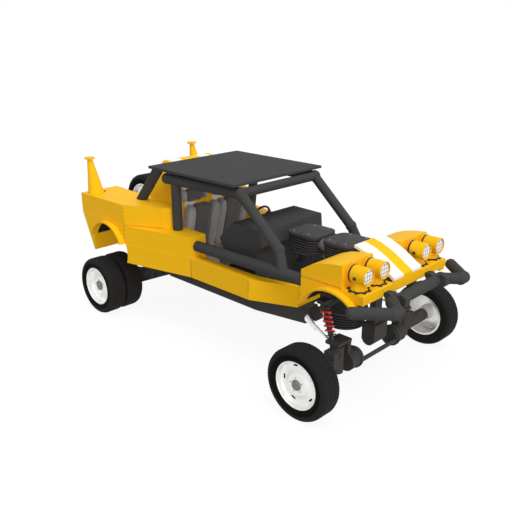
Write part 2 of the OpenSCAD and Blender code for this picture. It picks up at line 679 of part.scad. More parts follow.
// Red coil springs round the struts.
function coil_point(t, turns, height) = [coil_r * cos(360 * t), coil_r * sin(360 * t), height * t / turns];
function ring_point(t, a, turns, height) = let (
    rise = height / turns / (2 * PI * coil_r),
    slope = atan(rise))
    coil_point(t, turns, height) + wire_r * (cos(a) * [cos(360 * t), sin(360 * t), 0]
        + sin(a) * [sin(360 * t) * sin(slope), -cos(360 * t) * sin(slope), cos(slope)]);
module coil(turns, height, steps = 14, sides = 7) {
    rings = turns * steps;
    polyhedron(
        points = [for (i = [0 : rings], j = [0 : sides - 1])
            ring_point(i / steps, 360 * j / sides, turns, height)],
        faces = concat(
            [[for (j = [0 : sides - 1]) j]],
            [for (i = [0 : rings - 1], j = [0 : sides - 1]) let (k = (j + 1) % sides)
                [i * sides + j, (i + 1) * sides + j, (i + 1) * sides + k, i * sides + k]],
            [[for (j = [sides - 1 : -1 : 0]) rings * sides + j]]));
}
spring_start = perch_low + 10 + wire_r;
spring_height = strut_len - 62 - wire_r - spring_start;
module springs() color("red") at_axle() both_sides()
    translate(strut_foot + strut_dir * spring_start)
        rotate([0, acos(strut_dir[2]), atan2(strut_dir[1], strut_dir[0])])
            coil(coil_turns, spring_height);

// Bright links from the front of the tub to the carriers.
module front_links() color("white") at_axle() both_sides() {
    rod_cut_x([tub_front, tub_nose_half - panel, belly_z + 60],
        [-95, kingpin_y + 10, carrier_z + carrier_t / 2 - 2], 30);
    intersection() {
        rod([tub_front - 10, tub_nose_half - panel - 2, belly_z + 60], [-300, 515, carrier_z + 40], 76, 40);
        box([tub_front, 0, 0], [0, big, big]);
    }
}

// Rear axle: tube, middle housing, spindles and the dampers up to the rails.
module rear_axle() color(dark) at_axle() translate([-wheelbase, 0, 0]) {
    inner = rear_track - twin_w - twin_gap / 2;
    rod([0, -inner - 60, hub_z], [0, inner + 60, hub_z], 2 * stub_r);
    rod([0, -rear_track - 130, hub_z], [0, rear_track + 130, hub_z], 2 * spindle_r);
    translate([0, 0, hub_z]) sphere(r = 130);
    translate([0, 60, hub_z]) rotate([90, 0, 0]) cylinder(r = 120, h = 120);
    both_sides() {
        rod_cut_z([0, 290, hub_z], [0, 290, rail_low], 60);
        rod([0, 290, hub_z + 90], [0, 290, hub_z + 200], 84);
    }
}

// Trailing arms from the tub to the rear axle.
arm_y = 470;
module rear_arms() color(dark) at_axle() both_sides() difference() {
    along_y(arm_y, arm_y + 70) polygon([
        [tub_rear, belly_z + 10], [tub_rear, sill_z - 30], [716 - wheelbase, 640],
        [-wheelbase + 90, hub_z + 110],
        [-wheelbase - 90, hub_z + 90], [-wheelbase - 110, hub_z - 40], [-wheelbase + 60, hub_z - 100],
        [556 - wheelbase, 470]]);
    translate([-wheelbase, arm_y + 71, hub_z]) rotate([90, 0, 0]) cylinder(r = stub_r, h = 72);
    for (x = [616, 456, 296]) translate([x - wheelbase, arm_y + 71, 437 + (x - 296) * 0.3625])
        rotate([90, 0, 0]) cylinder(r = 38, h = 72);
}

// A tyre about its own axis, from z = -w / 2 to w / 2, with rounded shoulders.
module tyre_form(w) rotate_extrude() polygon([
    [rim_r, 18 - w / 2], [rim_r + 14, 4 - w / 2], [rim_r + 35, -w / 2], [tyre_r - 42, -w / 2],
    [tyre_r - 22, 7 - w / 2], [tyre_r - 8, 20 - w / 2], [tyre_r, 42 - w / 2],
    [tyre_r, w / 2 - 42], [tyre_r - 8, w / 2 - 20], [tyre_r - 22, w / 2 - 7],
    [tyre_r - 42, w / 2], [rim_r + 35, w / 2], [rim_r + 14, w / 2 - 4], [rim_r, w / 2 - 18]]);

// A rim about its own axis: barrel, dished disc at a height, hub with its bore, and round slots.
module rim_form(w, disc_z, hub_low, hub_high, slots, bore = spindle_r + run_gap) difference() {
    union() {
        difference() {
            translate([0, 0, 18 - w / 2]) cylinder(r = rim_r, h = w - 36);
            translate([0, 0, 17 - w / 2]) cylinder(r = rim_r - rim_wall, h = w - 34);
        }
        translate([0, 0, disc_z]) cylinder(r = rim_r - rim_wall + 2, h = 16);
        translate([0, 0, hub_low]) cylinder(r = 82, h = hub_high - hub_low);
        translate([0, 0, disc_z]) cylinder(r1 = 125, r2 = 95, h = 30);
    }
    translate([0, 0, hub_low - 1]) cylinder(r = bore, h = hub_high - hub_low - 14);
    for (i = [0 : slots - 1]) rotate(360 * i / slots + 20)
        translate([rim_r - rim_wall - 38, -24, disc_z - 1]) cube([18, 48, 40]);
    translate([0, 0, disc_z + 31]) difference() {
        cylinder(r = 200, h = 200);
        translate([0, 0, -1]) cylinder(r = 83, h = 202);
    }
}

// Puts a wheel made about +Z on the left side, with +Z pointing out.
module wheel_at(x, y, z = hub_z) at_axle() translate([x, y, z]) rotate([-90, 0, 0]) children();

module front_rim() wheel_at(0, front_track) rim_form(tyre_w, tyre_w / 2 - 62, -80, 62, 5);
module rear_rim() wheel_at(-wheelbase, rear_track)
    rim_form(2 * twin_w + twin_gap, twin_w - 110, -140, twin_w - 50, 0);
module rear_tyres() for (s = [-1, 1])
    wheel_at(-wheelbase, rear_track + s * (twin_w + twin_gap) / 2) tyre_form(twin_w);

module tyre_front_left() color(black) on_side(1) wheel_at(0, front_track) tyre_form(tyre_w);
module tyre_front_right() color(black) on_side(-1) wheel_at(0, front_track) tyre_form(tyre_w);
module rim_front_left() color("white") on_side(1) front_rim();
module rim_front_right() color("white") on_side(-1) front_rim();
module tyres_rear_left() color(black) on_side(1) rear_tyres();
module tyres_rear_right() color(black) on_side(-1) rear_tyres();
module rim_rear_left() color("white") on_side(1) rear_rim();
module rim_rear_right() color("white") on_side(-1) rear_rim();

// Spare wheel in the tail, its face to the right.
module spare_tyre() color(black) wheel_at(spare_x, 0, spare_z) tyre_form(tyre_w);
module spare_rim() color("white") on_side(-1) wheel_at(spare_x, 0, spare_z)
    rim_form(tyre_w, tyre_w / 2 - 62, -40, 62, 5, 20);

belly_tub();
tail_frame();
front_frame();
sills();
side_pods();
rear_wings();
arch_liners();
front_wings();
hood();
scuttle();
rear_deck();
rear_cover();
roll_cage();
rear_stays();
roof_panel();
front_bumper();
lamp_cans();
lamp_lenses();
seat_left();
seat_right();
steering_wheel();
engine_block();
cylinders();
stacks();
axle_housings();
struts();
springs();
front_links();
knuckle_left();
knuckle_right();
rear_axle();
rear_arms();
tyre_front_left();
rim_front_left();
tyre_front_right();
rim_front_right();
tyres_rear_left();
rim_rear_left();
tyres_rear_right();
rim_rear_right();
spare_tyre();
spare_rim();
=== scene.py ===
"""Dresses the long-travel dune buggy: paint, rubber, cloth, glass and small parts its solids leave out.

Lengths are in metres in the part's frame: X forward, Y to the left, Z up, with the ground at Z = 0.
"""
import logging
import math
from dataclasses import dataclass
from enum import Enum

import bmesh
import bpy
import numpy as np
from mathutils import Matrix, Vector


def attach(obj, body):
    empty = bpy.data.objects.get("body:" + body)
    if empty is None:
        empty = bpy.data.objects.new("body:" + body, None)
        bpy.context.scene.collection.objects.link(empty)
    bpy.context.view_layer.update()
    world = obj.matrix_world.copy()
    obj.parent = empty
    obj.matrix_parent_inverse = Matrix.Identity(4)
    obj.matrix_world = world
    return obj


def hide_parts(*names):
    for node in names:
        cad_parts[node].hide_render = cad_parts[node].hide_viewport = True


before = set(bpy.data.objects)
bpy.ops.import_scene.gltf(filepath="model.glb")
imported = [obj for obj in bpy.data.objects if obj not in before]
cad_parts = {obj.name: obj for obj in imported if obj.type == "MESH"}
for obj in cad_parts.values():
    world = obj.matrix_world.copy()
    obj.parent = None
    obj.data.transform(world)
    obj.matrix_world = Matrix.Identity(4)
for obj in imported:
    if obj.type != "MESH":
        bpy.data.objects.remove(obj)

LOG = logging.getLogger("buggy")
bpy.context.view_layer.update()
CHASSIS = "chassis"
# The front axle's place, the distance back to the rear axle and the height of both.
AXLE_X = 1.659
WHEELBASE = 3.316
HUB_Z = 0.350
# A normal that points up, and the axes of what stands level and of what faces forward.
UP = np.array([0.0, 0.0, 1.0])
LEVEL = np.eye(3)
FORWARD = np.array([[0.0, 1.0, 0.0], [0.0, 0.0, 1.0], [1.0, 0.0, 0.0]])


class Side(Enum):
    """Left or right of the middle plane, as the sign of Y."""

    LEFT = 1
    RIGHT = -1


# Numbers and colours


def at(x: float, y: float, z: float) -> np.ndarray:
    """Turns millimetres measured from the front axle into the part's frame in metres."""
    return np.array([AXLE_X + x / 1000, y / 1000, z / 1000])


def linear(colour: str) -> tuple[float, float, float, float]:
    """Turns an sRGB hex colour into linear RGBA.

    Args:
        colour: six hex digits after a hash sign.

    Returns:
        Linear red, green and blue, and an alpha of 1.
    """
    srgb = np.array([int(colour[i:i + 2], 16) for i in (1, 3, 5)]) / 255
    rgb = np.where(srgb <= 0.04045, srgb / 12.92, ((srgb + 0.055) / 1.055) ** 2.4)
    return (*rgb.tolist(), 1.0)


def unit(vector: np.ndarray) -> np.ndarray:
    """Scales a vector, or each row of an array of them, to length 1."""
    vector = np.asarray(vector, float)
    return vector / np.linalg.norm(vector, axis=-1, keepdims=True)


def axes_of(direction: np.ndarray) -> np.ndarray:
    """Finds a right-handed set of axes whose third axis is a direction.

    Args:
        direction: the third axis, of any length.

    Returns:
        A 3 by 3 array with one axis in each row. The second leans towards Z where it can.
    """
    third = unit(direction)
    hint = UP if abs(third[2]) <= 0.98 else np.array([0.0, 1.0, 0.0])
    first = unit(np.cross(hint, third))
    return np.array([first, np.cross(third, first), third])


# Surfaces


@dataclass
class Shell:
    """Points and four-cornered faces of one or more surfaces, before they become a mesh."""

    points: np.ndarray
    faces: np.ndarray

    def placed(self, origin: np.ndarray, axes: np.ndarray) -> "Shell":
        """Gives a copy whose own X, Y and Z lie along axes, with its zero at origin."""
        return Shell(self.points @ np.asarray(axes) + np.asarray(origin), self.faces)

    def doubled(self) -> "Shell":
        """Gives the shape together with its mirror image across the middle plane, both facing outwards."""
        return joined([self, Shell(self.points * np.array([1, -1, 1]), self.faces[:, ::-1])])


def grid_faces(rows: int, cols: int, wrap_rows: bool, wrap_cols: bool) -> np.ndarray:
    """Joins a grid of points, numbered row by row, into quads.

    Args:
        rows: number of rows.
        cols: number of points in a row.
        wrap_rows: whether the last row joins the first.
        wrap_cols: whether the last point of a row joins its first.

    Returns:
        An array of quads.
    """
    i, j = np.meshgrid(np.arange(rows if wrap_rows else rows - 1),
                       np.arange(cols if wrap_cols else cols - 1), indexing="ij")
    i2, j2 = (i + 1) % rows, (j + 1) % cols
    return np.stack([i * cols + j, i2 * cols + j, i2 * cols + j2, i * cols + j2], -1).reshape(-1, 4)


def joined(shells: list[Shell]) -> Shell:
    """Puts several surfaces into one, with their faces renumbered."""
    starts = np.cumsum([0] + [len(s.points) for s in shells[:-1]])
    return Shell(np.concatenate([s.points for s in shells]),
                 np.concatenate([s.faces + k for s, k in zip(shells, starts)]))


def revolve(profile: np.ndarray, count: int = 48, closed: bool = False) -> Shell:
    """Turns a profile round Z: the point (r, z) at angle t is (r cos t, r sin t, z).

    Args:
        profile: (r, z) pairs, from the bottom up along the outside, starting and ending on the axis
            unless the profile is closed.
        count: number of steps round.
        closed: whether the profile's last point joins its first, as a ring's does.

    Returns:
        The surface.
    """
    profile = np.asarray(profile, float)
    turn = np.linspace(0, 2 * np.pi, count, endpoint=False)[:, None]
    r, z = profile[None, :, 0], profile[None, :, 1]
    points = np.stack([r * np.cos(turn), r * np.sin(turn), z + 0 * turn], -1)
    return Shell(points.reshape(-1, 3), grid_faces(count, len(profile), True, closed))


def tube(path: np.ndarray, radius: np.ndarray, sides: int) -> Shell:
    """Carries a circle along an open path, its frame turned as little as possible from point to point.

    Args:
        path: the centre line's points.
        radius: the circle's radius at each point.
        sides: number of sides of the circle.

    Returns:
        The surface, with flat ends.
    """
    path = np.concatenate([path[:1], path, path[-1:]])
    radii = np.concatenate([[0.0], radius, [0.0]])
    ahead = np.roll(path, -1, 0) - np.roll(path, 1, 0)
    ahead[0] = ahead[1] = path[2] - path[1]
    ahead[-1] = ahead[-2] = path[-2] - path[-3]
    ahead = unit(ahead)
    hint = UP if np.abs(ahead[:, 2]).max() < 0.95 else np.array([0.31, 0.87, 0.38])
    first = unit(np.cross(hint, ahead))
    second = np.cross(ahead, first)
    a = np.linspace(0, 2 * np.pi, sides, endpoint=False)[None, :, None]
    points = path[:, None] + radii[:, None, None] * (np.cos(a) * first[:, None] + np.sin(a) * second[:, None])
    return Shell(points.reshape(-1, 3), grid_faces(len(path), sides, False, True))


def slab(outline: np.ndarray, low: float, high: float, edge: float) -> Shell:
    """A flat plate from a star-shaped outline, its rim rounded: rings of the outline drawn in towards
    its middle, at heights that follow a quarter circle at the top and bottom edges.

    Args:
        outline: (x, y) pairs, anticlockwise.
        low: height of the underside.
        high: height of the top.
        edge: radius of the rounded edges.

    Returns:
        The surface.
    """
    outline = np.asarray(outline, float)
    middle = outline.mean(0)
    arm = outline - middle
    reach = np.linalg.norm(arm, axis=1, keepdims=True)
    a = np.linspace(0, np.pi / 2, 4)
    inset = np.concatenate([[1e9], edge * (1 - np.sin(a)), edge * (1 - np.cos(a)), [1e9]])
    height = np.concatenate([[low], low + edge * (1 - np.cos(a)), high - edge * (1 - np.sin(a)), [high]])
    rings = middle + arm * np.clip(1 - inset[:, None, None] / reach[None], 0, 1)
    tall = np.broadcast_to(height[:, None, None], (*rings.shape[:2], 1))
    points = np.concatenate([rings, tall], -1)
    return Shell(points.reshape(-1, 3), grid_faces(len(height), len(outline), False, True))


def block(low: np.ndarray, high: np.ndarray, edge: float) -> Shell:
    """A box between two corners with its upright edges cut and its top and bottom rims rounded."""
    low, high = np.asarray(low, float), np.asarray(high, float)
    (x0, y0), (x1, y1), e = low[:2], high[:2], edge
    outline = [(x0 + e, y0), (x1 - e, y0), (x1, y0 + e), (x1, y1 - e),
               (x1 - e, y1), (x0 + e, y1), (x0, y1 - e), (x0, y0 + e)]
    return slab(np.array(outline), low[2], high[2], edge)


def strip(path: np.ndarray, normal: np.ndarray, width: float, height: float) -> Shell:
    """A flat rib carried along a path on a surface: a low box section with its corners cut.

    Args:
        path: points along the rib's middle, on the surface.
        normal: the surface's outward normal, one or one for each point.
        width: width across the path.
        height: how far it stands out.

    Returns:
        The surface.
    """
    path = np.asarray(path, float)
    normal = np.broadcast_to(unit(normal), path.shape)
    ahead = unit(np.gradient(path, axis=0))
    across = unit(np.cross(normal, ahead))
    w, h = width / 2, height
    section = np.array([(-w, -h), (w, -h), (w, h * 0.5), (w * 0.8, h), (-w * 0.8, h), (-w, h * 0.5)])
    body = path[:, None] + section[None, :, :1] * across[:, None] + section[None, :, 1:] * normal[:, None]
    rings = np.concatenate([path[:1, None] + 0 * body[:1], body, path[-1:, None] + 0 * body[-1:]])
    return Shell(rings.reshape(-1, 3), grid_faces(len(rings), len(section), False, True))


def stud(radius: float, height: float, sides: int = 6) -> Shell:
    """A bolt head or rivet about Z: a low prism, or with many sides a dome, with a chamfered rim."""
    dome = sides > 8
    top = [(radius, height * 0.45), (radius * 0.8, height * 0.85), (0, height)] if dome else \
        [(radius, height * 0.8), (radius * 0.82, height), (0, height)]
    return revolve(np.array([(0, -height * 0.3), (radius, -height * 0.3), *top]), sides)


def repeated(shape: Shell, places: np.ndarray, normals: np.ndarray) -> Shell:
    """Sets copies of a small shape on a surface, its Z along the normal at each place.

    Args:
        shape: the shape about its own Z.
        places: where the copies go.
        normals: one normal, or one for each place.

    Returns:
        All copies as one surface.
    """
    places = np.asarray(places, float)
    normals = np.broadcast_to(np.asarray(normals, float), places.shape)
    return joined([shape.placed(p, axes_of(n)) for p, n in zip(places, normals)])


def along(start: np.ndarray, end: np.ndarray, pitch: float) -> np.ndarray:
    """Spaces points evenly from start to end, about a pitch apart."""
    start, end = np.asarray(start, float), np.asarray(end, float)
    count = max(2, int(round(np.linalg.norm(end - start) / pitch)) + 1)
    return start + np.linspace(0, 1, count)[:, None] * (end - start)


def rounded_plate(half: float, corner: float, low: float, high: float, edge: float) -> Shell:
    """A square plate with rounded corners: a circle of the corner's radius, moved out to each corner by
    the sign of its cosine and sine.

    Args:
        half: half the width across the flats.
        corner: radius of the four upright corners.
        low: height of the underside.
        high: height of the top.
        edge: radius of the rounded edges.

    Returns:
        The surface.
    """
    a = np.linspace(0, 2 * np.pi, 64, endpoint=False) + np.pi / 64
    turn = np.stack([np.cos(a), np.sin(a)], -1)
    return slab((half - corner) * np.sign(turn) + corner * turn, low, high, edge)


def make_piece(name: str, shell: Shell, finish: "Finish", body: str = CHASSIS,
               replaces: tuple[str, ...] = (), sharp: float = 38.0) -> bpy.types.Object:
    """Makes a surface a mesh object that rides on a body.

    Args:
        name: the piece's name.
        shell: its points and faces in the part's frame.
        finish: what it is made of.
        body: the body it moves with.
        replaces: nodes that it stands for.
        sharp: edges that turn more than this many degrees stay sharp.

    Returns:
        The new object.
    """
    mesh = bpy.data.meshes.new(name)
    mesh.from_pydata(shell.points.tolist(), [], shell.faces.tolist())
    work = bmesh.new()
    work.from_mesh(mesh)
    bmesh.ops.remove_doubles(work, verts=work.verts, dist=2e-6)
    bmesh.ops.recalc_face_normals(work, faces=work.faces)
    work.to_mesh(mesh)
    work.free()
    mesh.shade_smooth()
    mesh.set_sharp_from_angle(angle=math.radians(sharp))
    mesh.materials.append(finish.material())
    piece = bpy.data.objects.new(name, mesh)
    bpy.context.scene.collection.objects.link(piece)
    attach(piece, body)
    if replaces:
        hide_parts(*replaces)
    LOG.info("%s: %d faces on %s", name, len(mesh.polygons), body)
    return piece


# Finishes

Tree = bpy.types.NodeTree
Socket = bpy.types.NodeSocket
WHITE = (1.0, 1.0, 1.0, 1.0)
# How every finish wears: the radius of the corners that rub through, and how many chips and dust clouds
# there are in a metre.
CORNER = 0.007
CHIPS = 45.0
FILM = 9.0
# Dust starts at one height and is full at another, near the ground.
DUST = "#a89e8c"
DUST_HIGH = 0.75
DUST_LOW = 0.05


def put(tree: Tree, kind: str, inputs: dict | None = None, **settings) -> bpy.types.Node:
    """Adds a node with its settings and links.

    Args:
        tree: the material's node tree.
        kind: the node's type after "ShaderNode".
        inputs: socket name or number to a value, or to the socket that it is linked from.
        settings: the node's own settings.

    Returns:
        The new node.
    """
    node = tree.nodes.new("ShaderNode" + kind)
    for key, value in settings.items():
        setattr(node, key, value)
    for key, value in (inputs or {}).items():
        if isinstance(value, bpy.types.NodeSocket):
            tree.links.new(value, node.inputs[key])
        else:
            node.inputs[key].default_value = value
    return node


def emptied(owner: bpy.types.ID) -> Tree:
    """Gives a material's or a world's node tree, without the nodes that it starts with."""
    owner.use_nodes = True
    owner.node_tree.nodes.clear()
    return owner.node_tree


def maths(tree: Tree, operation: str, first: Socket | float, second: Socket | float = 0.0) -> Socket:
    """Adds one step of arithmetic on two values and gives its result."""
    return put(tree, "Math", {0: first, 1: second}, operation=operation).outputs[0]


def span(tree: Tree, value: Socket, low: float, high: float, to_low: float = 0.0,
         to_high: float = 1.0) -> Socket:
    """Maps a value from one range to another, held at both ends.

    Args:
        tree: the node tree.
        value: the value to map.
        low: the value that gives to_low.
        high: the value that gives to_high, which may be the smaller of the two.
        to_low: what low becomes.
        to_high: what high becomes.

    Returns:
        The mapped value.
    """
    return put(tree, "MapRange", {"Value": value, "From Min": low, "From Max": high, "To Min": to_low,
                                  "To Max": to_high}).outputs[0]


def blend(tree: Tree, share: Socket, first: Socket | tuple, second: Socket | tuple) -> Socket:
    """Mixes two colours, the second by its share, and gives the result."""
    return put(tree, "Mix", {0: share, 6: first, 7: second}, data_type="RGBA").outputs[2]


def noise(tree: Tree, place: Socket, scale: float, detail: float) -> Socket:
    """Adds noise with a number of clouds in a metre and gives its value."""
    return put(tree, "TexNoise", {"Vector": place, "Scale": scale, "Detail": detail}).outputs["Fac"]


def seen(tree: Tree) -> Socket:
    """Gives 1 to rays from the camera, through glass and off glossy surfaces, and 0 to all others."""
    rays = put(tree, "LightPath").outputs
    straight = maths(tree, "MAXIMUM", rays["Is Camera Ray"], rays["Is Transmission Ray"])
    return maths(tree, "MAXIMUM", straight, rays["Is Glossy Ray"])


@dataclass(frozen=True)
class Finish:
    """A surface finish: what it is made of, how it takes light and how it wears.

    Sizes are in metres. Patterns read Object coordinates, which are the part's frame.
    """

    name: str
    colour: str
    shade: str
    roughness: float = 0.4
    metallic: float = 0.0
    coat: float = 0.0
    specular: float = 0.5
    cloud: float = 0.3
    grain: float = 0.006
    relief: float = 0.0004
    wear: float = 0.35
    worn: str = "#b9b4a8"
    dust: float = 0.1

    def material(self) -> bpy.types.Material:
        """Gives the finish's material, made once."""
        made = bpy.data.materials.get(self.name)
        if made is None:
            made = bpy.data.materials.new(self.name)
            self.build(emptied(made))
            made.diffuse_color = linear(self.colour)
        return made

    def base(self, tree: Tree, place: Socket) -> Socket:
        """Gives the base colour: two close tones in soft clouds the size of a hand's breadth or more."""
        return blend(tree, noise(tree, place, 1 / self.cloud, 3.0), linear(self.colour), linear(self.shade))

    def bump(self, tree: Tree, place: Socket) -> Socket:
        """Gives the surface's fine relief as a height in metres, from noise of the grain's size."""
        return maths(tree, "MULTIPLY", noise(tree, place, 1 / self.grain, 2.0), self.relief)

    def build(self, tree: Tree) -> None:
        """Builds the material: base colour, rubbed edges, dust low down, uneven gloss and relief."""
        place = put(tree, "TexCoord").outputs["Object"]
        colour, height = self.base(tree, place), self.bump(tree, place)
        # Corners are found where a bevelled normal leaves the true one, and the paint there is rubbed.
        soft = put(tree, "Bevel", {"Radius": CORNER}, samples=4).outputs[0]
        true = put(tree, "NewGeometry").outputs["Normal"]
        turn = put(tree, "VectorMath", {0: soft, 1: true}, operation="DOT_PRODUCT").outputs["Value"]
        edge = span(tree, turn, 0.995, 0.9, to_high=self.wear)
        rub = span(tree, noise(tree, place, CHIPS, 4.0), 0.48, 0.62)
        colour = blend(tree, maths(tree, "MULTIPLY", edge, rub), colour, linear(self.worn))
        # Dust gathers towards the ground.
        up = put(tree, "SeparateXYZ", {0: place}).outputs["Z"]
        film = noise(tree, place, FILM, 5.0)
        dusty = maths(tree, "MULTIPLY", span(tree, up, DUST_HIGH, DUST_LOW, to_high=self.dust), film)
        colour = blend(tree, dusty, colour, linear(DUST))
        gloss = span(tree, film, 0.0, 1.0, self.roughness * 0.85, min(1.0, self.roughness * 1.2))
        relief = put(tree, "Bump", {"Height": height, "Distance": 1.0, "Normal": soft})
        self.shader(tree, colour, gloss, relief.outputs[0])

    def shader(self, tree: Tree, colour: Socket, gloss: Socket, normal: Socket) -> None:
        """Ends the tree in the shader, with its constant values on its own sockets."""
        shader = put(tree, "BsdfPrincipled", {
            "Base Color": colour, "Roughness": gloss, "Normal": normal, "Metallic": self.metallic,
            "Coat Weight": self.coat, "Coat Roughness": 0.12, "Specular IOR Level": self.specular})
        put(tree, "OutputMaterial", {"Surface": shader.outputs[0]})


@dataclass(frozen=True)
class StripedPaint(Finish):
    """Stove enamel with stripes that run fore and aft: bands of the second colour between two distances
    from the middle plane, with a hard masked edge."""

    band: str = "#f7f6f2"
    band_in: float = 0.074
    band_out: float = 0.30
    band_low: float = 1.188
    mask: float = 0.0015

    def base(self, tree: Tree, place: Socket) -> Socket:
        """Gives the base colour: the body's tone, and the band's where |Y| lies between its edges above
        its lower end."""
        under = super().base(tree, place)
        parts = put(tree, "SeparateXYZ", {0: place}).outputs
        away = maths(tree, "ABSOLUTE", parts["Y"])
        start = span(tree, away, self.band_in - self.mask, self.band_in + self.mask)
        stop = span(tree, away, self.band_out + self.mask, self.band_out - self.mask)
        above = span(tree, parts["Z"], self.band_low - self.mask, self.band_low + self.mask)
        inside = maths(tree, "MULTIPLY", maths(tree, "MULTIPLY", start, stop), above)
        return blend(tree, inside, under, linear(self.band))


@dataclass(frozen=True)
class PrismGlass(Finish):
    """Pressed glass for lamps, near white as painted reflection of the bright reflector behind it: a square
    grid of prisms, seen as dark lines.
    """

    pitch: float = 0.0185
    line: float = 0.2

    def base(self, tree: Tree, place: Socket) -> Socket:
        """Gives the base colour: the near-white tone of painted reflection, dark where Y or Z is close to a
        line of the grid.
        """
        parts = put(tree, "SeparateXYZ", {0: place}).outputs
        lines = []
        for axis in ("Y", "Z"):
            near = maths(tree, "PINGPONG", maths(tree, "MULTIPLY", parts[axis], 1 / self.pitch), 1.0)
            lines.append(span(tree, near, self.line * 1.3, self.line * 0.6))
        return blend(tree, maths(tree, "MAXIMUM", *lines), linear(self.colour), linear(self.shade))


@dataclass(frozen=True)
class WovenCloth(Finish):
    """Seat cloth in a plain weave: two crossed waves of the thread spacing raise the threads in turn."""

    thread: float = 0.006
    sheen: float = 0.35

    def bump(self, tree: Tree, place: Socket) -> Socket:
        """Gives the weave's height: the product of waves along Y and along the slope of X and Z."""
        turned = put(tree, "Mapping", {"Vector": place, "Rotation": (0.0, 0.35, 0.0)})
        waves = [put(tree, "TexWave", {"Vector": turned.outputs[0], "Scale": 0.31 / self.thread},
                     wave_type="BANDS", bands_direction=axis).outputs["Fac"] for axis in ("Y", "Z")]
        return maths(tree, "MULTIPLY", maths(tree, "MULTIPLY", *waves), self.relief)

    def shader(self, tree: Tree, colour: Socket, gloss: Socket, normal: Socket) -> None:
        """Ends the tree in a rough shader with the sheen of loose fibres."""
        shader = put(tree, "BsdfPrincipled", {
            "Base Color": colour, "Roughness": gloss, "Normal": normal,
            "Sheen Weight": self.sheen, "Sheen Roughness": 0.5})
        put(tree, "OutputMaterial", {"Surface": shader.outputs[0]})


# Stove enamel over pressed steel: a deep even yellow with a soft gloss.
ENAMEL = dict(specular=0.06, grain=0.03, relief=0.00025)
YELLOW = dict(roughness=0.45, worn="#ffd465", wear=0.5, **ENAMEL)
YELLOW_ENAMEL = Finish("yellow stove enamel", "#ffc61a", "#fbc017", **YELLOW)
# The same enamel masked off in white along the hood, and along the crown behind the roof.
HOOD_ENAMEL = StripedPaint("striped hood enamel", "#ffc81b", "#fcc318", roughness=0.42, worn="#ffe9a8",
                           wear=0.4, **ENAMEL)
CROWN_ENAMEL = StripedPaint("striped crown enamel", "#ffc61a", "#fbc017", band_in=0.14, **YELLOW)
# Rivets in a paler yellow than the panels: painted highlight for the light that their domed heads catch.
RIVET_PAINTED_HIGHLIGHT = Finish("rivet yellow with painted highlight", "#ffe048", "#ffd93a", roughness=0.35, coat=0.3, grain=0.02,
                      relief=0.0001, worn="#fff0a0", wear=0.5)
# Powder coat over steel tube: dark grey, with a fine even texture and rubbed edges.
DARK_POWDER = Finish("dark powder coat", "#494949", "#444445", roughness=0.65, specular=0.02, grain=0.012,
                     relief=0.0003, worn="#6d6d6b", wear=0.35, cloud=0.5)
# Near black and dull on the liners inside the arches: painted shade for the arches' hollows.
ARCH_PAINTED_SHADE = Finish("black undercoat", "#1c1c20", "#151519", roughness=0.75, specular=0.15, grain=0.01,
                         relief=0.0012, wear=0.1, worn="#3c3c3c", dust=0.2)
# Sand-cast iron painted grey: a coarse skin that holds oil and dust.
CAST_IRON = Finish("painted cast iron", "#4c4c4e", "#414143", roughness=0.55, specular=0.05, grain=0.008,
                   relief=0.0009, worn="#7c7a76", wear=0.5, cloud=0.12)
# Moulded tyre rubber: carbon black, dull on the tread.
TYRE_RUBBER = Finish("moulded tyre rubber", "#232324", "#1b1b1c", roughness=0.8, specular=0.12, grain=0.009,
                     relief=0.0005, worn="#343432", wear=0.2, dust=0.04)
# Wheel faces: polished steel under a white lacquer, which mirrors the pale room.
WHITE_ENAMEL = Finish("white wheel lacquer", "#f8f8f7", "#f2f2f1", roughness=0.28, metallic=0.6, grain=0.02,
                      relief=0.0001, worn="#ffffff", wear=0.1, dust=0.03)
# Cast hub caps: grey, with a dull turned face.
HUB_GREY = Finish("grey hub casting", "#8b8b8c", "#7c7c7e", roughness=0.5, specular=0.3, grain=0.01,
                  relief=0.0003, worn="#c0c0be", wear=0.3)
# Zinc-plated screws and bolts: small and bright.
ZINC_PLATE = Finish("zinc plate", "#a9aaa8", "#8d8f8f", roughness=0.35, metallic=0.8, grain=0.01, wear=0.2)
# Dark phosphated screws in the dark frame.
BLACK_SCREW = Finish("black phosphate", "#262628", "#1d1d1f", roughness=0.5, grain=0.01, wear=0.3,
                     worn="#57565a")
# Hard chrome on the links: a bright mirror that reads as white in a pale room.
HARD_CHROME = Finish("hard chrome", "#f4f4f5", "#e6e7ea", roughness=0.12, metallic=0.85, grain=0.02,
                     relief=0.0001, wear=0.1, worn="#ffffff", dust=0.05)
# Red spring enamel, baked on after winding.
RED_ENAMEL = Finish("red spring enamel", "#f50f0f", "#e80a0a", roughness=0.35, coat=0.3, grain=0.02,
                    relief=0.0001, wear=0.15, worn="#ff6a5a", dust=0.0)
# Moulded black rubber and plastic: bands, boots, gaskets and the handwheel's rim; also painted shade on the
# blocks that stand for the recesses in the cylinder heads.
BLACK_MOULDING_AND_WELL_SHADE = Finish("black moulding and painted well shade", "#131316", "#0d0d10", roughness=0.5, grain=0.008, relief=0.0004,
                        wear=0.15, worn="#3a3a3c", dust=0.05)
# Near-black rubber, darker than the tyres, on a ring where the sidewall meets the rim; also painted shade on
# the blocks that stand for the rims' windows.
BEAD_RUBBER_AND_WINDOW_SHADE = Finish("black bead rubber", "#0b0b0c", "#080809", roughness=0.85, specular=0.08, grain=0.01,
                     relief=0.0002, wear=0.05, worn="#1a1a1a", dust=0.02)
# Machined light alloy: the inlet between the cylinders.
LIGHT_ALLOY = Finish("light alloy casting", "#79797b", "#6f6f72", roughness=0.5, specular=0.3, grain=0.01,
                     relief=0.0003, wear=0.2)
# Pressed glass over a bright reflector: its near-white colour is painted reflection of the reflector.
LAMP_GLASS_PAINTED_REFLECTION = PrismGlass("pressed lamp glass", "#f3f4f6", "#8c9098", roughness=0.16, coat=0.6, grain=0.03,
                        relief=0.0001, wear=0.0, dust=0.0)
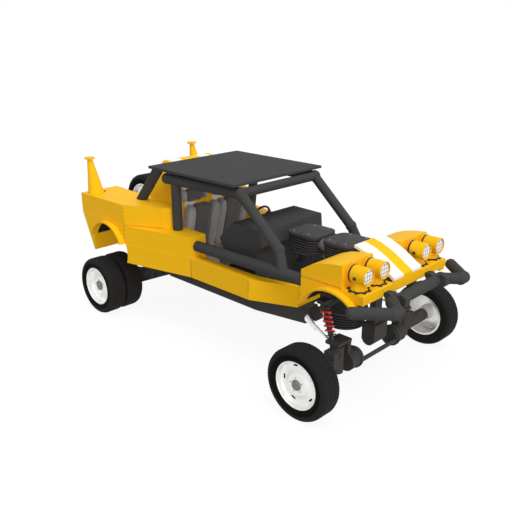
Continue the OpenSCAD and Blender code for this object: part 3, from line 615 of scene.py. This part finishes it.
# Heavy seat cloth: dark where one sits, grey on the side bolsters.
SEAT_CLOTH = WovenCloth("woven seat cloth", "#59595b", "#515153", roughness=0.9, relief=0.0015, wear=0.0,
                        dust=0.0, cloud=0.15)
SIDE_CLOTH = WovenCloth("woven side cloth", "#a6a6a8", "#9a9a9d", roughness=0.85, relief=0.0015, wear=0.0,
                        dust=0.0, cloud=0.15)


def dress(finish: Finish, *names: str) -> None:
    """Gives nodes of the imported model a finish, in place of the plain one that they come with."""
    for name in names:
        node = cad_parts[name]
        node.data.materials.clear()
        node.data.materials.append(finish.material())
        LOG.info("%s: %s", name, finish.name)


# Wheels


@dataclass
class Wheel:
    """One wheel or twin wheel: tyres with cut treads, a dished rim with near-black blocks painted as shade
    for its windows, a black bead ring, a hub cap, wheel nuts and a valve.

    Shapes are worked out in the wheel's own axes, from its middle, with Z outwards along the axle.
    """

    body: str
    tyre_node: str
    rim_node: str
    centre: tuple[float, float, float]
    side: Side
    cap_out: float = 0.0855
    cap_r: float = 0.045
    lip: float = 0.0985
    face: float = 0.046
    hub_low: float = -0.080
    bore: float = 0.0361
    windows: bool = True
    window_reach: float = 0.176
    window_turn: float = 33.0
    nut_gap: float = 0.024
    widths: tuple[float, ...] = (0.235,)
    offsets: tuple[float, ...] = (0.0,)
    radius: float = 0.350
    rim: float = 0.235
    groove: float = 0.0065
    pitches: int = 60
    around: int = 360

    def profile(self, width: float) -> np.ndarray:
        """Gives the tyre's section as (r, z) points: bead, sidewall with two raised rings, rounded
        shoulder and flat tread, sampled every few millimetres by arc length."""
        w, r = width / 2, self.radius
        half = np.array([(self.rim, w - 0.018), (self.rim + 0.014, w - 0.004), (self.rim + 0.024, w - 0.002),
                         (self.rim + 0.035, w - 0.0014), (self.rim + 0.05, w - 0.003), (r - 0.05, w - 0.0024),
                         (r - 0.042, w), (r - 0.022, w - 0.007), (r - 0.008, w - 0.020), (r, w - 0.042)])
        steps = np.array([0, 2, 3, 3, 3, 6, 3, 5, 5, 6])
        marks = np.cumsum(steps)
        rows = np.arange(marks[-1] + 1)
        side = np.stack([np.interp(rows, marks, half[:, k]) for k in (0, 1)], -1)
        tread = np.linspace(w - 0.042, -(w - 0.042), 2 * int(round((w - 0.042) / 0.003)) + 1)[1:-1]
        flat = np.stack([np.full(len(tread), r), tread], -1)
        return np.concatenate([side, flat, side[::-1] * np.array([1, -1])])

    def tyre(self, width: float) -> Shell:
        """Works out the tyre: each point of the section at angle t is drawn in by the groove depth where
        the tread's ribs or slots pass. The ribs are two rings; the slots run across at every pitch,
        staggered by half a pitch from one rib to the next and slanted."""
        section = self.profile(width)
        turn = np.linspace(0, 2 * np.pi, self.around, endpoint=False)[:, None]
        r, z = section[None, :, 0], section[None, :, 1]
        w = width / 2
        tread = np.clip((r - (self.radius - 0.03)) / 0.008, 0, 1)
        tread = tread * np.clip((w - 0.004 - np.abs(z)) / 0.004, 0, 1)
        ribs = np.clip(1 - np.abs(np.abs(z) - w * 0.24) / 0.004, 0, 1) ** 0.5
        zone = np.where(np.abs(z) > w * 0.24, 0.5, 0.0)
        phase = (self.pitches * turn / (2 * np.pi) + zone + z * 4.0 * np.sign(z + 1e-9)) % 1.0
        slots = np.clip(1 - np.abs(phase - 0.5) / 0.11, 0, 1) ** 0.5
        depth = self.groove * tread * np.maximum(ribs, slots * np.where(np.abs(z) < w * 0.24, 0.5, 1.0))
        r = r - depth
        points = np.stack([r * np.cos(turn), r * np.sin(turn), z + 0 * turn], -1)
        return Shell(points.reshape(-1, 3), grid_faces(self.around, len(section), True, True))

    def axes(self) -> np.ndarray:
        """Gives the wheel's own axes, the third one out along the axle."""
        out = float(self.side.value)
        return np.array([[1.0, 0.0, 0.0], [0.0, 0.0, -out], [0.0, out, 0.0]])

    def dish(self) -> Shell:
        """Works out the rim by turning one section: hub bore, back of the disc, barrel, rolled lip, dished
        face and raised middle."""
        lip, face, top, low = self.lip, self.face, self.cap_out, self.hub_low
        section = [(0, top - 0.026), (self.bore, top - 0.026), (self.bore, low), (0.082, low),
                   (0.082, face - 0.010), (0.188, face - 0.010), (0.199, face - 0.005), (0.207, face + 0.006),
                   (0.2115, face + 0.02), (0.213, face + 0.02), (0.213, -lip), (0.235, -lip), (0.235, lip),
                   (0.2335, lip + 0.0045), (0.229, lip + 0.0065), (0.223, lip + 0.0055), (0.219, lip),
                   (0.215, face + 0.031), (0.208, face + 0.0145), (0.199, face + 0.004), (0.190, face),
                   (0.160, face), (0.146, face + 0.002), (0.134, face + 0.008), (0.122, face + 0.018),
                   (0.110, top - 0.008), (0.096, top - 0.002), (0.082, top), (0, top)]
        return revolve(np.array(section), 72)

    def slots(self) -> Shell:
        """Works out near-black blocks on the disc at five equal angles near its edge: painted shade for the
        windows, which the solid dish doesn't cut.
        """
        window = block((-0.009, -0.024, -0.004), (0.009, 0.024, 0.0007), 0.0004)
        turns = np.radians(np.arange(5) * 72.0 + self.window_turn)
        reach = self.window_reach
        return joined([window.placed(np.array([reach * c, reach * s, self.face]),
                                     np.array([[c, s, 0.0], [-s, c, 0.0], [0.0, 0.0, 1.0]]))
                       for c, s in zip(np.cos(turns), np.sin(turns))])

    def bead(self) -> Shell:
        """Works out the black ring on the sidewall beside each rim's lip."""
        w = self.offsets[-1] + self.widths[-1] / 2
        return revolve(np.array([(0.2355, w - 0.020), (0.2365, w - 0.0148), (0.2495, w - 0.0030),
                                 (0.2590, w - 0.0012), (0.2700, w - 0.0005), (0.2850, w - 0.0020),
                                 (0.2920, w - 0.0018), (0.2920, w - 0.006), (0.2700, w - 0.006),
                                 (0.2490, w - 0.010)]), 72, True)

    def hub(self) -> Shell:
        """Works out the hub cap: a low drum with a rounded rim on a thin flange."""
        r, z = self.cap_r, self.cap_out
        a = np.linspace(0, np.pi / 2, 6)
        rim = np.stack([r - 0.006 + 0.006 * np.cos(a), z + 0.010 + 0.006 * np.sin(a)], -1)
        return revolve(np.concatenate([[(0, z - 0.003), (r + 0.007, z - 0.003), (r + 0.007, z + 0.003),
                                        (r, z + 0.003)], rim, [(0, z + 0.017)]]), 48)

    def nuts(self) -> Shell:
        """Works out the wheel nuts round the cap, at five equal angles."""
        a = np.linspace(0, 2 * np.pi, 5, endpoint=False) + 0.5
        reach = self.cap_r + self.nut_gap
        places = np.stack([reach * np.cos(a), reach * np.sin(a), np.full(5, self.cap_out - 0.0004)], -1)
        return repeated(stud(0.0065, 0.007), places, UP)

    def valve(self) -> Shell:
        """Works out the valve: a short thin stem that leans in from the rim's edge."""
        foot = np.array([0.162, 0.108, self.face - 0.003])
        return tube(np.array([foot, foot + [-0.006, -0.004, 0.022], foot + [-0.010, -0.007, 0.034]]),
                    np.array([0.006, 0.004, 0.003]), 10)

    def build(self) -> None:
        """Builds the wheel's pieces, which all turn with its body."""
        axes, centre, rim = self.axes(), np.array(self.centre), self.rim_node
        label = self.tyre_node.replace("tyres", "tyre")

        def add(name: str, shell: Shell, finish: Finish, replaces: tuple[str, ...] = (),
                sharp: float = 38.0) -> None:
            """Makes a piece of a shape in the wheel's own axes."""
            make_piece(name, shell.placed(centre, axes), finish, self.body, replaces, sharp)

        treads = [self.tyre(w).placed(UP * o, LEVEL) for w, o in zip(self.widths, self.offsets)]
        add(label + "_tread", joined(treads), TYRE_RUBBER, (self.tyre_node,), 30)
        add(label + "_bead", self.bead(), BEAD_RUBBER_AND_WINDOW_SHADE)
        add(rim + "_dish", self.dish(), WHITE_ENAMEL, (rim,), 25)
        if self.windows:
            # Painted shade: near-black blocks stand for the dark seen through the rim's windows.
            add(rim + "_windows", self.slots(), BEAD_RUBBER_AND_WINDOW_SHADE)
        add(rim + "_cap", self.hub(), HUB_GREY)
        add(rim + "_nuts", self.nuts(), ZINC_PLATE)
        add(rim + "_valve", self.valve(), BLACK_MOULDING_AND_WELL_SHADE)


# Lamps


@dataclass
class Lamps:
    """Four lamps on the shelf of the nose: clamping bands, bezels, side knobs and scalloped rubber feet.

    Radius is in metres; the places are in millimetres from the front axle.
    """

    ys: tuple[float, ...] = (-605, -360, 360, 605)
    height: float = 1318
    radius: float = 0.082
    rear: float = 140
    front: float = 330
    shelf: float = 1174
    foot_x: float = 235
    knob_x: float = 238
    knob_y: float = 80
    knob_z: float = 1303

    def band(self) -> Shell:
        """Works out the black clamping band that sits in the can's groove."""
        r, x0 = self.radius, 0.025
        return revolve(np.array([(r - 0.010, x0), (r + 0.001, x0), (r + 0.003, x0 + 0.003),
                                 (r + 0.003, x0 + 0.015), (r + 0.001, x0 + 0.018), (r - 0.010, x0 + 0.018)]),
                       56, True)

    def bezel(self) -> Shell:
        """Works out the rim that holds the glass: a rolled lip round the mouth of the can."""
        depth, r = (self.front - self.rear) / 1000, self.radius
        a = np.linspace(-np.pi / 2, np.pi, 10)
        lip = np.stack([r - 0.0035 + 0.0055 * np.cos(a), depth + 0.001 + 0.0055 * np.sin(a)], -1)
        return revolve(np.concatenate([lip, [(r - 0.0095, depth - 0.006)]]), 56, True)

    def foot(self) -> Shell:
        """Works out the rubber foot: a flat gasket whose radius swings out eight times round."""
        a = np.linspace(0, 2 * np.pi, 96, endpoint=False)
        r = 0.097 + 0.013 * np.cos(8 * a + np.pi)
        return slab(np.stack([r * np.cos(a), r * np.sin(a)], -1), 0.0004, 0.012, 0.003)

    def build(self) -> None:
        """Builds the lamps' small parts and dresses the cans and glasses."""
        def spread(shape: Shell, x: float, z: float, axes: np.ndarray) -> Shell:
            """Puts a shape on every lamp."""
            return joined([shape.placed(at(x, y, z), axes) for y in self.ys])

        make_piece("lamp_bands", spread(self.band(), self.rear, self.height, FORWARD), BLACK_MOULDING_AND_WELL_SHADE)
        make_piece("lamp_bezels", spread(self.bezel(), self.rear, self.height, FORWARD), YELLOW_ENAMEL)
        knobs = [repeated(stud(0.017, 0.014, 10), [at(self.knob_x, y + side * self.knob_y, self.knob_z)],
                          (0.0, side, 0.0)) for y in self.ys for side in (-1.0, 1.0)]
        make_piece("lamp_knobs", joined(knobs), BLACK_MOULDING_AND_WELL_SHADE)
        make_piece("lamp_feet", spread(self.foot(), self.foot_x, self.shelf, LEVEL), BLACK_MOULDING_AND_WELL_SHADE)
        dress(YELLOW_ENAMEL, "lamp_cans")
        # The lenses' near white is painted reflection of the reflectors behind them.
        dress(LAMP_GLASS_PAINTED_REFLECTION, "lamp_lenses")


# Seats

# The cloth simulation of a pad: size of the cloth's cells, number of steps and pressure inside.
CELL = 0.012
STEPS = 14
PRESSURE = 4.0


@dataclass
class Pad:
    """One stuffed pad: a rounded block between two points, swollen by a short cloth simulation."""

    name: str
    centre: np.ndarray
    size: tuple[float, float, float]
    lean: float
    finish: Finish
    square: float = 0.42
    swell: float = 0.010

    def surface(self, rows: int = 28, cols: int = 40) -> Shell:
        """Works out the pad before it is filled: a superellipsoid, whose cosines and sines are raised to
        a small power so that it is a block with round edges, turned by its lean about Y."""
        u = np.linspace(-np.pi / 2, np.pi / 2, rows)[:, None]
        v = np.linspace(-np.pi, np.pi, cols, endpoint=False)[None, :]

        def power(value: np.ndarray) -> np.ndarray:
            """Raises the size of a value to the block's power and keeps its sign."""
            return np.sign(value) * np.abs(value) ** self.square

        a, b, c = (s / 2 for s in self.size)
        local = np.stack([a * power(np.cos(u)) * power(np.cos(v)), b * power(np.cos(u)) * power(np.sin(v)),
                          c * power(np.sin(u)) + 0 * v], -1).reshape(-1, 3)
        turn = np.array([[math.cos(self.lean), 0, math.sin(self.lean)], [0, 1, 0],
                         [-math.sin(self.lean), 0, math.cos(self.lean)]])
        return Shell(local @ turn + self.centre, grid_faces(rows, cols, False, True))

    def fill(self, piece: bpy.types.Object) -> None:
        """Blows the pad up as stuffed cloth: a voxel remesh, a few steps of cloth under pressure with no
        gravity, and a cap on how far each point moves."""
        remesh = piece.modifiers.new("remesh", "REMESH")
        remesh.mode, remesh.voxel_size = "VOXEL", CELL
        apply_modifiers(piece)
        mesh = piece.data
        before = np.empty(len(mesh.vertices) * 3)
        mesh.vertices.foreach_get("co", before)
        cloth = piece.modifiers.new("cloth", "CLOTH")
        cloth.settings.use_pressure = True
        cloth.settings.uniform_pressure_force = PRESSURE
        cloth.settings.effector_weights.gravity = 0.0
        cloth.settings.quality = 4
        cloth.point_cache.frame_start, cloth.point_cache.frame_end = 1, STEPS
        for step in range(1, STEPS + 1):
            bpy.context.scene.frame_set(step)
        apply_modifiers(piece)
        after = np.empty(len(before))
        piece.data.vertices.foreach_get("co", after)
        move = (after - before).reshape(-1, 3)
        length = np.linalg.norm(move, axis=1, keepdims=True)
        move *= np.minimum(1.0, self.swell / np.maximum(length, 1e-9))
        piece.data.vertices.foreach_set("co", (before.reshape(-1, 3) + move).ravel())
        bpy.context.scene.frame_set(1)

    def build(self, replaces: tuple[str, ...]) -> None:
        piece = make_piece(self.name, self.surface(), self.finish, CHASSIS, replaces, 180)
        self.fill(piece)
        smooth = piece.modifiers.new("smooth", "SUBSURF")
        smooth.levels = smooth.render_levels = 1


def apply_modifiers(piece: bpy.types.Object) -> None:
    """Makes the piece's evaluated shape its mesh, and clears its modifiers."""
    graph = bpy.context.evaluated_depsgraph_get()
    graph.update()
    mesh = bpy.data.meshes.new_from_object(piece.evaluated_get(graph))
    piece.modifiers.clear()
    piece.data = mesh
    mesh.shade_smooth()


@dataclass
class Seat:
    """A bucket seat: dark cloth cushion, back and headrest between grey side bolsters."""

    name: str
    side: Side
    inner: float = 0.014
    outer: float = 0.466
    bolster: float = 0.085

    def pads(self) -> list[Pad]:
        """Lists the seat's pads, with their places worked out from the seat's two sides."""
        middle, b = (self.inner + self.outer) / 2, self.bolster
        inside = self.outer - self.inner - 2 * b
        rows = [
            ("cushion", (-2060, middle, 822), (0.50, inside + 0.02, 0.11), 0.07, SEAT_CLOTH),
            ("back", (-2352, middle, 1150), (0.11, inside + 0.02, 0.62), -0.22, SEAT_CLOTH),
            ("headrest", (-2415, middle, 1525), (0.085, inside - 0.01, 0.16), -0.12, SEAT_CLOTH, 0.5)]
        for label, y, head in (("in", self.inner + b / 2, self.inner + b - 0.018),
                               ("out", self.outer - b / 2, self.outer - b + 0.018)):
            rows += [("wing_" + label, (-2325, y, 1150), (0.17, b + 0.01, 0.62), -0.24, SIDE_CLOTH, 0.5),
                     ("thigh_" + label, (-2060, y, 845), (0.52, b + 0.01, 0.13), 0.05, SIDE_CLOTH, 0.5),
                     ("head_" + label, (-2410, head, 1528), (0.10, 0.045, 0.145), -0.1, SIDE_CLOTH, 0.5,
                      0.006)]
        return [Pad(f"{self.name}_{label}", at(x, self.side.value * y * 1000, z), *rest)
                for label, (x, y, z), *rest in rows]

    def build(self) -> None:
        """Builds the pads; the first stands for the plain solid."""
        for number, pad in enumerate(self.pads()):
            pad.build((self.name,) if number == 0 else ())


# Body


@dataclass
class Rivets:
    """A row of rivets on the right side of the body, repeated on the left."""

    start: tuple[float, float, float]
    end: tuple[float, float, float]
    normal: tuple[float, float, float]
    pitch: float

    def shell(self, radius: float) -> Shell:
        """Works out the row's domed heads and their mirror images."""
        places = along(at(*self.start), at(*self.end), self.pitch)
        return repeated(stud(radius, radius * 0.5, 10), places, self.normal).doubled()


@dataclass
class Bodywork:
    """Paint, rivet rows, seams and trim of the body panels."""

    rivet: float = 0.0058
    seam: float = 0.0045
    flank: tuple[float, float, float] = (0.2361, -0.9717, 0.0)
    haunch: tuple[float, float, float] = (0.4713, -0.8820, 0.0)
    side: tuple[float, float, float] = (0.0, -1.0, 0.0)

    def dark_rows(self) -> list[Rivets]:
        """Lists the rows of blackened rivets: along the wing's foot, up its corner and over the arch."""
        return [
            Rivets((-2447, -703.7, 1197), (-2868, -928.6, 1197), self.haunch, 0.034),
            Rivets((-2873, -933.4, 990), (-2873, -933.4, 1176), self.flank, 0.046),
            Rivets((-2873, -931.3, 1218), (-2873, -931.3, 1400), self.haunch, 0.046),
            Rivets((-338, -709, 1181), (110, -709, 1187), self.side, 0.030),
        ]

    def highlight_rivet_rows(self) -> list[Rivets]:
        """Lists the rows of rivets whose paler yellow is painted highlight: along the pod and along the tail.
        """
        return [
            Rivets((-2905, -935, 1197), (-3745, -935, 1197), self.side, 0.036),
            Rivets((-2860, -930.1, 955), (-1965, -712.6, 955), self.flank, 0.036),
        ]

    def seams(self) -> Shell:
        """Works out the dark joints in the side panels, as thin strips and their mirror images."""
        lines = [((-1946, -709, 737), (-1946, -709, 952)), ((-1046, -709, 806), (-1046, -709, 938))]
        return joined([strip(along(at(*a), at(*b), 0.05), self.side, self.seam, 0.0012)
                       for a, b in lines]).doubled()

    def build(self) -> None:
        """Dresses the panels and adds their rivets and seams."""
        dress(YELLOW_ENAMEL, "sills", "side_pods", "rear_wings", "front_wings", "rear_deck", "stacks")
        dress(HOOD_ENAMEL, "hood")
        dress(CROWN_ENAMEL, "rear_cover")
        # The arch liners are near black: painted shade inside the arches.
        dress(ARCH_PAINTED_SHADE, "arch_liners")
        dress(DARK_POWDER, "belly_tub", "tail_frame", "scuttle", "roof_panel")
        # The rivets along the pod and the tail are paler yellow: painted highlight on their heads.
        for name, rows, finish, slot in (("dark_rivets", self.dark_rows(), BLACK_SCREW, "frame_dark"),
                                         ("bright_rivets", self.highlight_rivet_rows(), RIVET_PAINTED_HIGHLIGHT, "body_yellow")):
            make_piece(name, joined([row.shell(self.rivet) for row in rows]), finish)
        make_piece("panel_seams", self.seams(), BLACK_MOULDING_AND_WELL_SHADE)


@dataclass
class Frame:
    """The cage, the bumper, the running gear and their bolts."""

    cage: tuple[tuple[float, ...], ...] = ((-722, -590, 1327), (-2265, -620, 1415))
    cage_normal: tuple[float, float, float] = (0.45, -0.75, 0.45)
    stack: tuple[tuple[float, ...], ...] = ((-3735, -800, 1434), (-3735, -748, 1434), (-3600, -700, 1434))

    def bolts(self, radius: float, height: float, spots: tuple, normal: np.ndarray) -> Shell:
        """Works out bolt heads at spots of the right side and their mirror images."""
        return repeated(stud(radius, height), [at(*spot) for spot in spots], normal).doubled()

    def build(self) -> None:
        """Dresses the tubes and the running gear and adds the bolts."""
        dress(DARK_POWDER, "front_frame", "roll_cage", "rear_stays", "front_bumper", "axle_housings",
              "knuckle_left", "knuckle_right", "rear_axle", "rear_arms")
        dress(BLACK_MOULDING_AND_WELL_SHADE, "struts", "steering_wheel")
        dress(RED_ENAMEL, "springs")
        dress(HARD_CHROME, "front_links")
        make_piece("cage_bolts", self.bolts(0.010, 0.010, self.cage, self.cage_normal), ZINC_PLATE)
        make_piece("stack_bolts", self.bolts(0.013, 0.014, self.stack, UP), BLACK_SCREW)


@dataclass
class Engine:
    """The open engine: cast crankcase, finned barrels with bolted head plates, and the inlet between them.

    Places are in millimetres from the front axle.
    """

    axes: tuple[float, float] = (-815.0, -345.0)
    foot: float = 1178
    head: float = 1338
    top: float = 1372
    fins: int = 6
    bolts: tuple[tuple[float, float], ...] = ((-118, -143), (76, -143), (118, 143), (-76, 143))

    def barrels(self) -> Shell:
        """Works out both barrels with their fins and head plates."""
        rise = (self.head - self.foot) / 1000
        pitch = rise / self.fins
        plates = [rounded_plate(0.140, 0.10, 0, rise, 0.002)]
        for step in range(self.fins):
            low = pitch * (step + 0.4)
            plates.append(rounded_plate(0.194, 0.098, low, low + pitch * 0.5, 0.003))
        plates.append(rounded_plate(0.203, 0.104, rise, rise + 0.034, 0.006))
        return joined([joined(plates).placed(at(x, 0, self.foot), LEVEL) for x in self.axes])

    def blocks(self, low: tuple, high: tuple, edge: float) -> Shell:
        """Works out a small block on each head, from corners given from the middle of the head's top."""
        return joined([block(at(x + low[0], low[1], self.top + low[2]),
                             at(x + high[0], high[1], self.top + high[2]), edge) for x in self.axes])

    def build(self) -> None:
        """Dresses the crankcase and builds the barrels and what is bolted to their heads."""
        dress(CAST_IRON, "engine_block")
        make_piece("barrels", self.barrels(), CAST_IRON, CHASSIS, ("cylinders",), 30)
        spots = [at(x + dx, dy, self.top - 0.4) for x in self.axes for dx, dy in self.bolts]
        make_piece("head_bolts", repeated(stud(0.009, 0.008), spots, UP), ZINC_PLATE)
        # Painted shade: a near-black block on each head plate stands for the shade in its recess.
        make_piece("head_wells", self.blocks((-68, -172, -6), (24, -120, 0.7), 0.0005), BLACK_MOULDING_AND_WELL_SHADE)
        make_piece("head_keys", self.blocks((-30, -160, 0), (8, -132, 5), 0.002), CAST_IRON)
        path = np.array([at(x, -118, z) for x, z in ((-630, 1272), (-600, 1280), (-556, 1296), (-530, 1300))])
        make_piece("inlet_cone", tube(path, np.array([0.014, 0.030, 0.060, 0.062]), 28), LIGHT_ALLOY)


# Studio


@dataclass
class Studio:
    """Pale floor, soft lamps and the camera at the photograph's angle."""

    place: tuple[float, float, float] = (4.908, -4.981, 3.327)
    back: tuple[float, float, float] = (0.6603, -0.6743, 0.3306)
    lens: float = 45.05
    ambient: float = 0.5
    key: float = 1.41
    front: float = 1.1
    glow: float = 1.14
    share: float = 0.8
    reach: float = 40.0

    def camera(self) -> None:
        """Sets the camera where the photograph's perspective puts it."""
        data = bpy.data.cameras.new("camera")
        data.lens, data.sensor_width = self.lens, 36.0
        data.clip_start, data.clip_end = 0.1, 200.0
        camera = bpy.data.objects.new("camera", data)
        camera.location = self.place
        camera.rotation_mode = "QUATERNION"
        camera.rotation_quaternion = (-Vector(self.back)).to_track_quat("-Z", "Y")
        bpy.context.scene.collection.objects.link(camera)
        bpy.context.scene.camera = camera

    def lamp(self, name: str, direction: tuple[float, float, float], strength: float, spread: float,
             tint: tuple[float, float, float], shadow: bool = True) -> None:
        """Adds a broad distant lamp that shines from a direction; a fill lamp throws no shadow."""
        data = bpy.data.lights.new(name, "SUN")
        data.color, data.use_shadow = tint, shadow
        data.energy, data.angle = strength, math.radians(spread)
        lamp = bpy.data.objects.new(name, data)
        lamp.rotation_mode = "QUATERNION"
        lamp.rotation_quaternion = Vector(direction).to_track_quat("Z", "Y")
        bpy.context.scene.collection.objects.link(lamp)

    def world(self) -> None:
        """Sets an even pale surround: white to the camera and in reflections, softer as light."""
        world = bpy.data.worlds.new("surround")
        bpy.context.scene.world = world
        tree = emptied(world)
        strength = span(tree, seen(tree), 0.0, 1.0, self.ambient, 1.0)
        light = put(tree, "Background", {"Color": WHITE, "Strength": strength})
        put(tree, "OutputWorld", {"Surface": light.outputs[0]})

    def floor(self) -> None:
        """Lays a wide pale floor just under the tyres, white to the camera but still taking shadow."""
        size = self.reach
        mesh = bpy.data.meshes.new("floor")
        mesh.from_pydata([(-size, -size, 0), (size, -size, 0), (size, size, 0), (-size, size, 0)], [],
                         [(0, 1, 2, 3)])
        material = bpy.data.materials.new("pale floor")
        tree = emptied(material)
        place = put(tree, "TexCoord").outputs["Object"]
        tone = blend(tree, noise(tree, place, 0.8, 2.0), linear("#c2c2c1"), linear("#bcbcbb"))
        matt = put(tree, "BsdfDiffuse", {"Color": tone})
        glow = put(tree, "Emission", {"Color": WHITE, "Strength": self.glow})
        share = span(tree, seen(tree), 0.0, 1.0, 0.0, self.share)
        mixed = put(tree, "MixShader", {0: share, 1: matt.outputs[0], 2: glow.outputs[0]})
        put(tree, "OutputMaterial", {"Surface": mixed.outputs[0]})
        mesh.materials.append(material)
        floor = bpy.data.objects.new("floor", mesh)
        bpy.context.scene.collection.objects.link(floor)

    def build(self) -> None:
        """Builds the studio."""
        bpy.context.scene.view_settings.view_transform = "Standard"
        self.camera()
        self.world()
        self.lamp("key", (0.35, -0.15, 1.0), self.key, 40, (1.0, 1.0, 0.97))
        self.lamp("front", (1.0, -0.2, 0.3), self.front, 50, (1.0, 0.92, 0.87), False)
        self.floor()


def wheels() -> list[Wheel]:
    """Lists the wheels with their bodies, nodes and places."""
    sides = [(side, side.name.lower(), side.value) for side in (Side.RIGHT, Side.LEFT)]
    twin = dict(widths=(0.228, 0.228), offsets=(-0.122, 0.122), cap_out=0.178, cap_r=0.055, lip=0.218,
                face=0.134, hub_low=-0.140, windows=False)
    front = [Wheel(f"front_{name}_wheel", f"tyre_front_{name}", f"rim_front_{name}",
                   (AXLE_X, sign * 1.064, HUB_Z), side) for side, name, sign in sides]
    rear = [Wheel(f"rear_{name}_wheels", f"tyres_rear_{name}", f"rim_rear_{name}",
                  (AXLE_X - WHEELBASE, sign * 0.875, HUB_Z), side, **twin) for side, name, sign in sides]
    spare = Wheel(CHASSIS, "spare_tyre", "spare_rim", (AXLE_X - 3.640, 0.0, 1.195), Side.RIGHT,
                  hub_low=-0.040, bore=0.020)
    return [*front, *rear, spare]


def main() -> None:
    """Builds the studio and the buggy's sub-assemblies in order."""
    logging.basicConfig(level=logging.INFO, format="%(message)s")
    Studio().build()
    for part in [Bodywork(), Frame(), Engine(), Lamps(), *wheels(),
                 Seat("seat_right", Side.RIGHT), Seat("seat_left", Side.LEFT)]:
        part.build()


if __name__ == "__main__":
    main()
